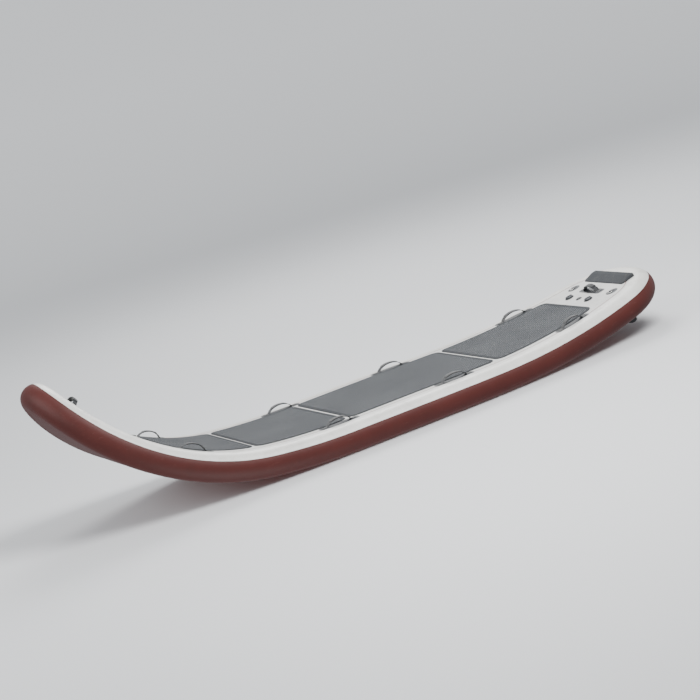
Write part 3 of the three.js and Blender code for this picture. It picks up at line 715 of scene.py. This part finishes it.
def strap(bm, path, place, width, thick, sides=16, flat=0.3, edge=0.6):
    """A flat strap drawn along a path of points, each how far along it is, how high, and its share of the
    full width and thickness there. Place says where a point of the strap lies on the flat pattern."""
    order, run, across_at = pattern_layers(bm)
    drawn, travelled = [], 0.0
    for k, ((along, high, wide, deep), ring) in enumerate(zip(path, rings(bm, sides, order))):
        behind, ahead = path[max(0, k - 1)], path[min(len(path) - 1, k + 1)]
        travelled += math.dist(behind[:2], (along, high))
        lean = math.atan2(ahead[1] - behind[1], ahead[0] - behind[0])
        for j, v in enumerate(ring):
            turn = 2 * math.pi * j / sides
            across = width / 2 * wide * pressed(math.cos(turn), flat)
            up = thick / 2 * deep * pressed(math.sin(turn), edge)
            v.co = place(along - up * math.sin(lean), across, high + up * math.cos(lean))
            v[run], v[across_at] = travelled, across
        drawn.append(ring)
    close_ends(bm, drawn)
    map_flat(bm, where=lambda v: (v[run], v[across_at]))


def curved_path(points):
    """The path of a strap of even width and thickness. Its corners are cut off twice, so that it curves."""
    for _ in range(2):
        cut = [points[0]]
        for a, b in zip(points, points[1:]):
            cut += [tuple(p + (q - p) * share for p, q in zip(a, b)) for share in (0.25, 0.75)]
        points = [*cut, points[-1]]
    return [(along, high, 1.0, 1.0) for along, high in points]


def strap_rise(along, rise):
    """How high the middle of a handle's strap is, over its feet and up over the hand."""
    share = max(0.0, 1 - (along / STRAP_ARCH) ** 2)
    return STRAP_LOW + rise * share**0.6 + STRAP_THICK / 2


def handle_path(rise):
    stops = [-along for along in STRAP_POINTS] + [0.0, *reversed(STRAP_POINTS)]
    return curved_path([(along, strap_rise(along, rise)) for along in stops])


def sleeve_path(rise):
    """The sleeve's middle line, and how far it swells there from the strap that it wraps."""
    path = []
    for share in [i / SLEEVE_STEPS * 2 - 1 for i in range(SLEEVE_STEPS + 1)]:
        swell = min(1.0, (1 - abs(share)) / SLEEVE_TAPER)
        swell = SLEEVE_SLIM + (1 - SLEEVE_SLIM) * math.sin(swell * QUARTER)
        swell -= SLEEVE_RIB * math.cos(share * SLEEVE_RIBS)
        along = share * SLEEVE_REACH
        path.append((along, strap_rise(along, rise) + SLEEVE_RISE, 0.955 + 0.045 * swell, swell))
    return path


def stitches(bm, lines, place):
    """Rows of lockstitch along lines of how far along and across, each stitch a short round thread."""
    for (along, across), (to_along, to_across) in lines:
        far = math.hypot(to_along - along, to_across - across)
        count = round(far / STITCH_STEP)
        turn = Matrix.Rotation(math.atan2(to_across - across, to_along - along), 4, "Z")
        for i in range(count):
            share = (i + 0.5) / count
            at = Vector((along + (to_along - along) * share, across + (to_across - across) * share, 0))
            made = bmesh.ops.create_uvsphere(bm, u_segments=6, v_segments=4, radius=1)["verts"]
            size = Matrix.Diagonal((STITCH / 2, STITCH_R, STITCH_R, 1))
            bmesh.ops.transform(bm, matrix=Matrix.Translation(at) @ turn @ size, verts=made)
            for v in made:
                v.co = place(*v.co)


def box_and_cross(first, last, half):
    """The lines of a box of stitches with a cross in it."""
    corners = [(first, -half), (last, -half), (last, half), (first, half)]
    return [*zip(corners, corners[1:] + corners[:1]), (corners[0], corners[2]), (corners[1], corners[3])]


def sewn(name, boxes, place, high):
    """The stitching of a strap, in boxes with a cross, on top of webbing that is so high."""
    bm = bmesh.new()
    seam_at = high + STITCH_R * 0.1
    for box in boxes:
        stitches(bm, box_and_cross(*box), lambda along, across, up: place(along, across, seam_at + up))
    finish_bent(bm, f"stitching_{name}", [thread], "webbing")


def handle(name, width, rise, place):
    """A handle's strap, its sleeve and the stitching of its two feet."""
    bm = bmesh.new()
    strap(bm, handle_path(rise), place, width, STRAP_THICK)
    finish_bent(bm, f"strap_{name}", [webbing], "webbing", replaces=[f"handle_strap_{name}"], crease=60)
    bm = bmesh.new()
    strap(bm, sleeve_path(rise), place, width + SLEEVE_WIDER, SLEEVE_THICK, sides=28, flat=0.5)
    sleeve = finish_bent(bm, f"sleeve_{name}", [neoprene], "webbing", crease=60)
    boxes = [(side * SEWN_FROM, side * SEWN_TO, width / 2 - SEWN_IN) for side in (-1, 1)]
    sewn(name, boxes, place, STRAP_LOW + STRAP_THICK)


def patch(name, outline, replaces, ridge=0.004):
    """A patch of doubled cloth welded to the deck, its edge pressed thin, with a ridge round inside it."""
    bm = bmesh.new()
    top, _ = cut_sheet(bm, outline, PATCH_FLAT, PATCH_EDGE)
    draw_in(bm, top, ridge)
    draw_in(bm, top, RIDGE_WIDTH, PATCH_H - PATCH_FLAT)
    along = [s for s, _ in outline]
    cut_often(bm, bm.faces, min(along), max(along), PATCH_STEP)
    map_flat(bm)
    finish_bent(bm, f"patch_{name}", [patch_cloth], "patch_pvc", replaces=replaces, crease=25)


def beside_rail(at, sign):
    """The line along one side that a handle follows, and where a point of its strap lies."""

    def line(s):
        return sign * (half_width(s) - HANDLE_INSET)

    def place(along, across, high):
        return Vector((at + along, line(at + along) + across, THICK + high))

    return line, place


for end, at in SIDE_HANDLES.items():
    for name, sign in ((f"{end}_port", 1), (f"{end}_starboard", -1)):
        line, place = beside_rail(at, sign)
        start, stop = at - SIDE_PATCH, at + SIDE_PATCH
        outline = cut_outline(start, stop, SIDE_PATCH_CORNER, lambda s: SIDE_PATCH_HALF, line)
        patch(name, outline, [f"handle_patch_{name}"])
        handle(name, SIDE_WIDTH, SIDE_RISE, place)

for name, (at, rise) in END_HANDLES.items():
    outline = cut_outline(at - END_PATCH, at + END_PATCH, END_PATCH_CORNER, lambda s: END_PATCH_HALF)
    patch(name, outline, [f"handle_patch_{name}"])
    handle(name, END_WIDTH, rise, lambda along, across, high: Vector((at + across, along, THICK + high)))

# D-rings: seven steel rings for a tow line, cargo straps and leashes. Each turns on its straight bar in a
# folded webbing tab, sewn to a round welded patch. The nose and cargo rings lie back over the deck, and the
# tail's lie forward.
WIRE_R, RING_HALF, RING_REACH, RING_CORNER = 0.0025, 0.020, 0.028, 0.005
BEAD_AT, BEAD_SPREAD, BEAD_SWELL = 0.55, 0.07, 0.16
TAB_HALF, TAB_TAIL, TAB_PLY, TAB_BORE, HINGE_H = 0.014, 0.034, 0.0013, 0.0029, 0.0054
TAB_TURN_FROM, TAB_TURN, TAB_TURN_STEPS = -1.25, 3.15, 24
TAB_SEAM = (-0.0125, -0.0310, TAB_HALF - 0.003)
RING_PATCH_R, RING_PATCH_SHIFT, RING_RIDGE = 0.048, 0.008, 0.006
RING_PAIRS = {"cargo_fore": 4.68532, "cargo_aft": 4.36535, "leash_tail": 0.41028}
RING_PLACES = {"tow_nose": 4.95459}
for pair, at in RING_PAIRS.items():
    RING_PLACES |= {f"{pair}_port": at, f"{pair}_starboard": at}
BRIGHT, TARNISH = (0.62, 0.61, 0.59), (0.30, 0.24, 0.18)
joints = {joint["name"]: joint for joint in frame["joints"]}

steel, tree, shader = new_material("polished_steel", Metallic=1.0)
drawn = node(tree, "Mapping", {"Vector": on_strip(tree), "Scale": (40.0, 900.0, 1.0)}).outputs[0]
tarnished = blotches(tree, on_object(tree), 130.0, 8.0, 0.7, 0.52, 0.70)
drive(
    tree,
    shader,
    Base_Color=marked(tree, BRIGHT, tarnished, 0.6, TARNISH),
    Roughness=math_node(tree, "MULTIPLY_ADD", tarnished, 0.22, 0.20),
    Normal=bumped(tree, noise(tree, drawn, 1.0, 4.0), 0.00012, 0.5),
)


def upward(s):
    """The way straight up from the deck at s."""
    _, _, slope = rocker(s)
    return Vector((-math.sin(slope), 0, math.cos(slope)))


def seated(place, across, up):
    """The matrix that moves a piece from its own axes to a place, a way across and a way up."""
    return Matrix.Translation(place) @ Matrix((across.cross(up), across, up)).transposed().to_4x4()


def ring_wire(bm, line, radius, sides=14):
    """A closed rod drawn round a flat line, whose points each have the way out of the line and a swell."""
    order, run, across_at = pattern_layers(bm)
    drawn, travelled = [], 0.0
    for k, ((at, out_way, swell), ring) in enumerate(zip(line, rings(bm, sides, order))):
        travelled += (at - line[max(0, k - 1)][0]).length
        for j, v in enumerate(ring):
            turn = 2 * math.pi * j / sides
            v.co = at + (out_way * math.cos(turn) + Vector((0, 0, math.sin(turn)))) * radius * swell
            v[run], v[across_at] = travelled, radius * abs(turn - math.pi)
        drawn.append(ring)
    bmesh.ops.bridge_loops(bm, edges=edges_among(drawn[0]) + edges_among(drawn[-1]))
    map_flat(bm, where=lambda v: (v[run], v[across_at]))


def ring_line():
    """The D of the ring's wire, with the bead where its ends are welded on the curve."""
    arcs = [
        # middle, radius, first and last quarter turn, steps
        (RING_CORNER, RING_CORNER - RING_HALF, RING_CORNER, -2, -1, 7),
        (RING_REACH - RING_HALF, 0.0, RING_HALF, -1, 1, 34),
        (RING_CORNER, RING_HALF - RING_CORNER, RING_CORNER, 1, 2, 7),
    ]
    line = []
    for x, y, radius, first, last, steps in arcs:
        for i in range(steps + 1):
            turn = (first + (last - first) * i / steps) * QUARTER
            out_way = Vector((math.cos(turn), math.sin(turn), 0))
            bead = math.exp(-(((turn - BEAD_AT) / BEAD_SPREAD) ** 2)) if radius == RING_HALF else 0.0
            line.append((Vector((x, y, 0)) + out_way * radius, out_way, 1 + BEAD_SWELL * bead))
    return line


def tab_path(lift):
    """The tab's webbing, from its tail under the ring's bar, round it and back over itself."""
    low = PATCH_H + TAB_PLY / 2
    round_at = TAB_BORE + TAB_PLY / 2
    line = [(-TAB_TAIL, low), (-0.020, low), (-0.010, low + lift * 0.5)]
    for i in range(TAB_TURN_STEPS + 1):
        turn = (TAB_TURN_FROM + TAB_TURN * i / TAB_TURN_STEPS) * QUARTER
        line.append((round_at * math.cos(turn), HINGE_H + lift + round_at * math.sin(turn)))
    over = low + TAB_PLY
    line += [(-0.0085, over + TAB_PLY / 4 + lift * 0.5), (-0.013, over), (-TAB_TAIL + 0.001, over)]
    return curved_path(line)


for name, at in RING_PLACES.items():
    joint = joints[f"swing_{name}"]
    hinge, bar, up = Vector(joint["pos_m"]), -Vector(joint["axis"]).normalized(), upward(at)
    lies, y = (1 if bar.y > 0 else -1), hinge.y
    lift = (hinge - bent(at, y, THICK, AFT)).dot(up) - HINGE_H

    bm = bmesh.new()
    ring_wire(bm, ring_line(), WIRE_R)
    bmesh.ops.transform(bm, matrix=seated(hinge, bar, up), verts=bm.verts)
    finish_piece(bm, f"ring_{name}", [steel], "ring_steel", f"ring_{name}", [f"dring_{name}"], crease=60)

    def on_tab(along, across, high):
        return Vector((at + lies * along, y + across, THICK + high))

    start, stop = (at - lies * RING_PATCH_SHIFT + reach for reach in (-RING_PATCH_R, RING_PATCH_R))
    outline = cut_outline(start, stop, RING_PATCH_R - 0.0005, lambda s: RING_PATCH_R, lambda s: y)
    patch(name, outline, [f"dring_mount_{name}"], RING_RIDGE)
    bm = bmesh.new()
    strap(bm, tab_path(lift), on_tab, 2 * TAB_HALF, TAB_PLY)
    finish_bent(bm, f"tab_{name}", [webbing], "webbing", crease=60)
    sewn(name, [TAB_SEAM], on_tab, PATCH_H + 2 * TAB_PLY)

# Valves: two for filling, moulded in glass-filled nylon. Each body's flange is screwed down on the deck with
# a notched ring, and a ribbed cap with a grip bar locks over it with a quarter turn.
FLANGE_R, BOSS_R, FLANGE_H, BOSS_H = 0.034, 0.024, 0.003, 0.010
CAP_R, CAP_LOW, CAP_H = 0.029, 0.0036, 0.014
GRIP_L, GRIP_W, GRIP_H, GRIP_SUNK, GRIP_EDGE = 0.046, 0.008, 0.005, 0.0018, 0.0018
NOTCHES, NOTCH_STEPS, NOTCH_DEPTH, NOTCH_DRAFT = 12, 6, 0.0010, 0.0003
CAP_RIBS, CAP_RIB_STEPS, CAP_RIB, CAP_RIB_DRAFT = 30, 4, 0.0006, 0.00025
# The radii and the heights between which the flange is notched and the cap is ribbed
NOTCHED = (0.0306, 0.0312), (0.0028, 0.0032)
RIBBED = (CAP_R - 0.0005, CAP_R), (CAP_LOW + 0.001, 0.0100)
FLANGE = [
    # radius, height
    (0, 0.0002), (FLANGE_R - 0.0006, 0.0002), (FLANGE_R, 0.0008), (FLANGE_R, 0.0016),
    (FLANGE_R - 0.0005, 0.0024), (FLANGE_R - 0.0013, 0.0029), (FLANGE_R - 0.0022, FLANGE_H),
    (0.0302, FLANGE_H), (0.0292, FLANGE_H - 0.0006), (0.0252, FLANGE_H - 0.0006), (BOSS_R, FLANGE_H),
    (BOSS_R, BOSS_H - 0.001), (BOSS_R - 0.001, BOSS_H), (0, BOSS_H),
]
SHELL = [
    # radius, height
    (0, 0.0106), (0.0246, 0.0106), (0.0246, CAP_LOW), (CAP_R - 0.0006, CAP_LOW),
    (CAP_R - 0.0003, CAP_LOW + 0.0004), (CAP_R - 0.0003, 0.0108), (CAP_R - 0.0006, 0.0122),
    (CAP_R - 0.0014, 0.0134), (CAP_R - 0.0026, CAP_H), (0.0230, CAP_H), (0.0222, CAP_H - 0.0008),
    (0.0040, CAP_H - 0.0008), (0, CAP_H - 0.0008),
]
RUBBED, RUBBED_ROUGH, SALTED, SALT = 0.5, -0.10, 0.18, (0.42, 0.41, 0.39)

moulded_group, into, out = new_group("moulded", {"Place": "Vector"}, ["Grain", "Rubbed", "Salt"])
drive(
    moulded_group,
    out,
    Grain=noise(moulded_group, into["Place"], 1500.0, 3.0),
    Rubbed=blotches(moulded_group, into["Place"], 90.0, 9.0, 0.75, 0.52, 0.72),
    Salt=blotches(moulded_group, into["Place"], 330.0, 8.0, 0.7, 0.60, 0.74),
)


def moulded(name, colour, worn, rough, texture):
    """Moulded nylon: its colour, what it rubs to, and how strongly the tool's etched grain shows."""
    made, tree, shader = new_material(name, Specular_IOR_Level=0.45)
    masks = use_group(tree, moulded_group, Place=on_object(tree))
    base = marked(tree, colour, masks["Rubbed"], RUBBED, worn)
    base = marked(tree, base, masks["Salt"], SALTED, SALT)
    roughness = math_node(tree, "MULTIPLY_ADD", masks["Rubbed"], RUBBED_ROUGH, rough)
    drive(tree, shader, Base_Color=base, Roughness=roughness, Normal=bumped(tree, masks["Grain"], texture))
    return made


valve_nylon = moulded("valve_nylon", (0.026, 0.028, 0.031), (0.07, 0.07, 0.072), rough=0.46, texture=0.00022)
cap_nylon = moulded("cap_nylon", (0.058, 0.062, 0.068), (0.12, 0.12, 0.125), rough=0.42, texture=0.00016)


def turned(bm, profile, steps):
    """A piece turned on a lathe from its profile of radius and height, closed on its own axis."""
    points = [bm.verts.new((radius, 0, high)) for radius, high in profile]
    geom = [*points, *(bm.edges.new(pair) for pair in zip(points, points[1:]))]
    whole = {"angle": 2 * math.pi, "steps": steps, "use_merge": True}
    bmesh.ops.spin(bm, geom=geom, axis=(0, 0, 1), cent=(0, 0, 0), **whole)
    bmesh.ops.remove_doubles(bm, verts=bm.verts, dist=1e-6)
    bmesh.ops.recalc_face_normals(bm, faces=bm.faces)


def rounded_bar(bm, size, middle, edge):
    """A bar with all its edges rounded."""
    matrix = Matrix.Translation(middle) @ Matrix.Diagonal((*size, 1))
    edges = edges_among(bmesh.ops.create_cube(bm, size=1, matrix=matrix)["verts"])
    bmesh.ops.bevel(bm, geom=edges, offset=edge, segments=3, profile=0.5, affect="EDGES", material=-1)


def sunk_round(bm, radii, heights, every, wide, draft, depth):
    """Sinks some faces of a turned piece with a little draft, or raises them where the depth is negative: of
    those whose middles lie between two radii and two heights, so many of every so many round it."""
    found = []
    for face in bm.faces:
        at = face.calc_center_median()
        if radii[0] < at.xy.length < radii[1] and heights[0] < at.z < heights[1]:
            found.append((math.atan2(at.y, at.x), face))
    found.sort(key=lambda pair: pair[0])
    faces = [face for i, (_, face) in enumerate(found) if i % every < wide]
    draw_each_in(bm, faces, draft)
    draw_each_in(bm, faces, draft * 0.3, -depth)


def on_deck(bm, hinge, axis):
    """Stands a turned piece on the deck, at a place and along an axis that leans with the deck."""
    bmesh.ops.transform(bm, matrix=seated(hinge, Vector((0, 1, 0)), axis), verts=bm.verts)


for name in ("port", "starboard"):
    joint = joints[f"turn_cap_{name}"]
    seat, axis = Vector(joint["pos_m"]), Vector(joint["axis"]).normalized()
    bm = bmesh.new()
    turned(bm, FLANGE, NOTCH_STEPS * NOTCHES)
    sunk_round(bm, *NOTCHED, every=NOTCH_STEPS, wide=2, draft=NOTCH_DRAFT, depth=NOTCH_DEPTH)
    on_deck(bm, seat, axis)
    solid = f"valve_body_{name}"
    finish_piece(bm, f"valve_{name}", [valve_nylon], "valve_plastic", replaces=[solid], crease=30)

    bm = bmesh.new()
    turned(bm, SHELL, CAP_RIB_STEPS * CAP_RIBS)
    sunk_round(bm, *RIBBED, every=CAP_RIB_STEPS, wide=2, draft=CAP_RIB_DRAFT, depth=-CAP_RIB)
    grip_at = CAP_H + GRIP_H / 2 - GRIP_SUNK / 2
    rounded_bar(bm, (GRIP_L, GRIP_W, GRIP_H + GRIP_SUNK), (0, 0, grip_at), GRIP_EDGE)
    on_deck(bm, seat, axis)
    body = f"cap_{name}"
    finish_piece(bm, body, [cap_nylon], "cap_plastic", body, [f"valve_cap_{name}"], crease=30)

# Relief valve: it lets air out if the sun heats the board too far. It is a moulded dome between the two
# valves, screwed down like them, with a ring of vents round its shoulder.
RELIEF_AT = 0.53444
VENTS, VENT_STEPS, VENT_DEPTH, VENT_DRAFT = 8, 8, 0.0012, 0.0003
VENTED = (0.0165, 0.0174), (0.0044, 0.0062)
DOME = [
    # radius, height
    (0, 0.0002), (0.0234, 0.0002), (0.0240, 0.0008), (0.0240, 0.0020), (0.0234, 0.0026), (0.0182, 0.0034),
    (0.0176, 0.0040), (0.0162, 0.0064), (0.0154, 0.0072), (0.0142, 0.0077), (0.0120, 0.0080),
    (0.0082, 0.0080), (0.0076, 0.0074), (0, 0.0074),
]

bm = bmesh.new()
turned(bm, DOME, VENT_STEPS * VENTS)
sunk_round(bm, *VENTED, every=VENT_STEPS, wide=3, draft=VENT_DRAFT, depth=VENT_DEPTH)
on_deck(bm, bent(RELIEF_AT, 0, THICK, AFT), upward(RELIEF_AT))
finish_piece(bm, "relief_dome", [valve_nylon], "valve_plastic", replaces=["relief_valve"], crease=30)

# Fins: three blades of glass-filled nylon that keep the board on its line. Each has a box under the tail, on
# a base plate welded to the bottom, and the fin's root slides into the box's slot from aft.
BOX_LENGTH, BOX_WALL, BOX_HIGH, BOX_EDGE = 0.190, 0.010, 0.015, 0.0005
PLATE_H, PLATE_CUTS, PLATE_REACH = 0.0041, 11, 0.131579
ROOT_HALF, ROOT_FROM, NECK_HALF, ROOT_LIP, ROOT_LENGTH = 0.008, 0.005, 0.005, 0.0092, 0.150
ROOT_GAP, ROOT_EDGE, NECK_EDGE = 0.0004, 0.0006, 0.0008
NECK_RISE, NECK_OUT, BLADE_SUNK = 0.001, 0.002, 0.0012
BLADE_ROOT, BLADE_TIP, BLADE_DEEP, BLADE_RAKE, BLADE_THICK = 0.142, 0.046, 0.085, 0.084, 0.009
BLADE_BACK, TIP_BACK, TIP_FROM_LEVEL, EDGE_HALF = 0.004, 0.020, 0.86, 0.0003
FLARE, FLARE_LEVELS, FOIL_SIDES, BLADE_LEVELS = 0.0016, 0.05, 40, 30
FINS = {"centre": (0.275, 0.0), "port": (0.350, 0.250), "starboard": (0.350, -0.250)}

fin_nylon = moulded("fin_nylon", (0.016, 0.017, 0.019), (0.06, 0.06, 0.062), rough=0.34, texture=0.00012)


def foil(share):
    """Half the thickness of the blade's section, at a share of its chord from the front."""
    near = 0.2969 * math.sqrt(share) - 0.126 * share
    return 2.5 * (near - 0.3516 * share**2 + 0.2843 * share**3 - 0.1015 * share**4)


def fin_blade(bm, front, base):
    """The blade, from its root at base out to its rounded tip, in levels that are closer near the tip."""
    order = bm.verts.layers.int.new("order")
    drawn = []
    for k, ring in zip(range(BLADE_LEVELS + 1), rings(bm, FOIL_SIDES, order)):
        level = 1 - (1 - k / BLADE_LEVELS) ** 1.25
        past = max(0.0, (level - TIP_FROM_LEVEL) / (1 - TIP_FROM_LEVEL))
        rounded = math.sqrt(max(0.0, 1 - past**2)) * 0.97 + 0.03
        chord = (BLADE_ROOT + (BLADE_TIP - BLADE_ROOT) * level**1.3) * rounded
        nose = front - BLADE_BACK - BLADE_RAKE * level**1.5 - (1 - rounded) * TIP_BACK
        half = BLADE_THICK * (1 - 0.6 * level) * (0.35 + 0.65 * rounded)
        flare = FLARE * max(0.0, 1 - level / FLARE_LEVELS) ** 2
        for j, v in enumerate(ring):
            turn = 2 * math.pi * j / FOIL_SIDES
            share = (1 - math.cos(turn)) / 2
            side = half * foil(share) + flare * math.sin(turn) ** 2 + EDGE_HALF
            across = math.copysign(side, math.sin(turn)) if j % (FOIL_SIDES // 2) else 0
            v.co = (nose - chord * share, across, base + BLADE_DEEP * level)
        drawn.append(ring)
    close_ends(bm, drawn)


for name, (at, y) in FINS.items():
    forward, down = -Vector(joints[f"slide_fin_{name}"]["axis"]).normalized(), -upward(at)
    axes = Matrix((forward, down.cross(forward), down)).transposed().to_4x4()
    seat = Matrix.Translation(bent(at, y, 0, AFT)) @ axes

    bm = bmesh.new()
    bm.from_mesh(frame["nodes"][f"fin_box_{name}"].data)
    bmesh.ops.remove_doubles(bm, verts=bm.verts, dist=1e-5)
    bmesh.ops.dissolve_limit(bm, angle_limit=math.radians(2), verts=bm.verts, edges=bm.edges)
    corners = [e for e in bm.edges if e.is_convex and e.calc_face_angle() > math.radians(30)]
    round_off = {"offset": BOX_EDGE, "segments": 2, "profile": 0.5, "clamp_overlap": True}
    bmesh.ops.bevel(bm, geom=corners, affect="EDGES", material=-1, **round_off)
    bmesh.ops.transform(bm, matrix=seat.inverted(), verts=bm.verts)
    cut_often(bm, bm.faces, -PLATE_REACH, PLATE_REACH, 2 * PLATE_REACH / (PLATE_CUTS + 1))
    for v in bm.verts:
        if v.co.z < PLATE_H:
            v.co.z -= v.co.x**2 / (2 * TAIL_BEND_R)
    bmesh.ops.transform(bm, matrix=seat, verts=bm.verts)
    finish_piece(bm, f"box_{name}", [valve_nylon], "valve_plastic", replaces=[f"fin_box_{name}"], crease=30)

    bm = bmesh.new()
    front, top = BOX_LENGTH / 2 - BOX_WALL - ROOT_GAP, BOX_HIGH + NECK_OUT
    middle = front - ROOT_LENGTH / 2
    for half, low, high, edge in (
        (ROOT_HALF, ROOT_FROM, ROOT_LIP, ROOT_EDGE),
        (NECK_HALF, ROOT_FROM + NECK_RISE, top, NECK_EDGE),
    ):
        rounded_bar(bm, (ROOT_LENGTH, 2 * half, high - low), (middle, 0, (low + high) / 2), edge)
    fin_blade(bm, front, top - BLADE_SUNK)
    bmesh.ops.transform(bm, matrix=seat, verts=bm.verts)
    body = f"fin_{name}_body"
    finish_piece(bm, f"blade_{name}", [fin_nylon], "fin_plastic", body, [f"fin_{name}"], crease=30)

# Studio: a pale floor under the board that curves up into a far wall, and soft lights from above and,
# through the floor, from below. The paint glows more towards the far wall, painted light in place of lamps
# on the wall. The camera looks off the port bow, from a little above the deck.
FLOOR_R, WALL_R, FLOOR_AT, FLOOR_SIDES, WALL_STEPS = 14.0, 12.0, -0.001, 96, 12
GLOW_FROM, GLOW_TO, GLOW, SKY_STRENGTH = 5.0, 20.0, 0.36, 0.55
FLOOR_GREY, GLOW_COLOUR, SKY = (0.74, 0.75, 0.76), (0.97, 0.985, 1.0), (0.93, 0.96, 1.0)
VIEW_TURN, VIEW_RISE, VIEW_ROLL = 160.0, 10.0, -17.0
LENS, DISTANCE = 135.0, 18.5
MIDDLE = (cad_box[0] + cad_box[1]) / 2
LIGHTS = [
    # name, direction it comes from as turn and rise, distance, size, watts
    ("key", 205, 52, 8.0, 5.0, 900),
    ("fill", 95, 30, 9.0, 6.0, 330),
    ("back", 335, 40, 9.0, 5.0, 520),
    ("bounce", 150, -50, 6.0, 5.0, 160),
]

floor_paint, tree, shader = new_material("floor_paint", Base_Color=FLOOR_GREY, Roughness=0.55)
from_middle = node(tree, "VectorMath", {0: on_object(tree)}, operation="LENGTH").outputs["Value"]
# Painted light: the paint glows more from 5 m out to 20 m, so the far wall looks lit by lamps that are not
# there
glow = ranged(tree, from_middle, GLOW_FROM, GLOW_TO, 0.0, GLOW)
drive(tree, shader, Emission_Color=GLOW_COLOUR, Emission_Strength=glow)
behind = node(tree, "NewGeometry").outputs["Backfacing"]
seen = math_node(tree, "SUBTRACT", node(tree, "LightPath").outputs["Is Camera Ray"], behind, clamp=True)
clear = node(tree, "BsdfTransparent").outputs[0]
chosen = node(tree, "MixShader", {0: seen, 1: clear, 2: shader.outputs[0]})
drive(tree, tree.nodes["Material Output"], Surface=chosen.outputs[0])

bm = bmesh.new()
order = bm.verts.layers.int.new("order")
for step, ring in zip(range(WALL_STEPS + 1), rings(bm, FLOOR_SIDES, order, capped=True)):
    turn = step / WALL_STEPS * QUARTER
    for v in ring:
        v.co = v.co.xy.normalized().to_3d() * (FLOOR_R + WALL_R * math.sin(turn))
        v.co.z = WALL_R * (1 - math.cos(turn)) + FLOOR_AT
bmesh.ops.recalc_face_normals(bm, faces=bm.faces)
if sum(face.normal.z for face in bm.faces if len(face.verts) > 4) < 0:
    bmesh.ops.reverse_faces(bm, faces=bm.faces)
floor = new_object("studio_floor", smooth_mesh(bm, "studio_floor", [floor_paint]))
floor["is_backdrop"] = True

world = bpy.data.worlds.new("studio")
bpy.context.scene.world = world
world.use_nodes = True
drive(world.node_tree, world.node_tree.nodes["Background"], Color=SKY, Strength=SKY_STRENGTH)


def seen_from(turn, rise):
    turn, rise = math.radians(turn), math.radians(rise)
    return Vector((math.sin(turn) * math.cos(rise), -math.cos(turn) * math.cos(rise), math.sin(rise)))


for name, turn, rise, far, size, power in LIGHTS:
    lamp = bpy.data.lights.new(name, "AREA")
    lamp.shape, lamp.size, lamp.energy = "DISK", size, power
    light = new_object(name, lamp)
    light.location = MIDDLE + seen_from(turn, rise) * far
    light.rotation_euler = (-seen_from(turn, rise)).to_track_quat("-Z", "Y").to_euler()
    light.visible_camera = False

camera_data = bpy.data.cameras.new("camera")
camera_data.lens = LENS
camera_data.clip_end = 200
camera = new_object("camera", camera_data)
bpy.context.scene.camera = camera
toward = seen_from(VIEW_TURN, VIEW_RISE)
camera.location = MIDDLE + toward * DISTANCE
level = (-toward).to_track_quat("-Z", "Y")
camera.rotation_euler = (level @ Quaternion((0, 0, 1), math.radians(VIEW_ROLL))).to_euler()

boxes = {"cad": cad_box, "visual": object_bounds()}
{name: [list(low), list(high)] for name, (low, high) in boxes.items()}
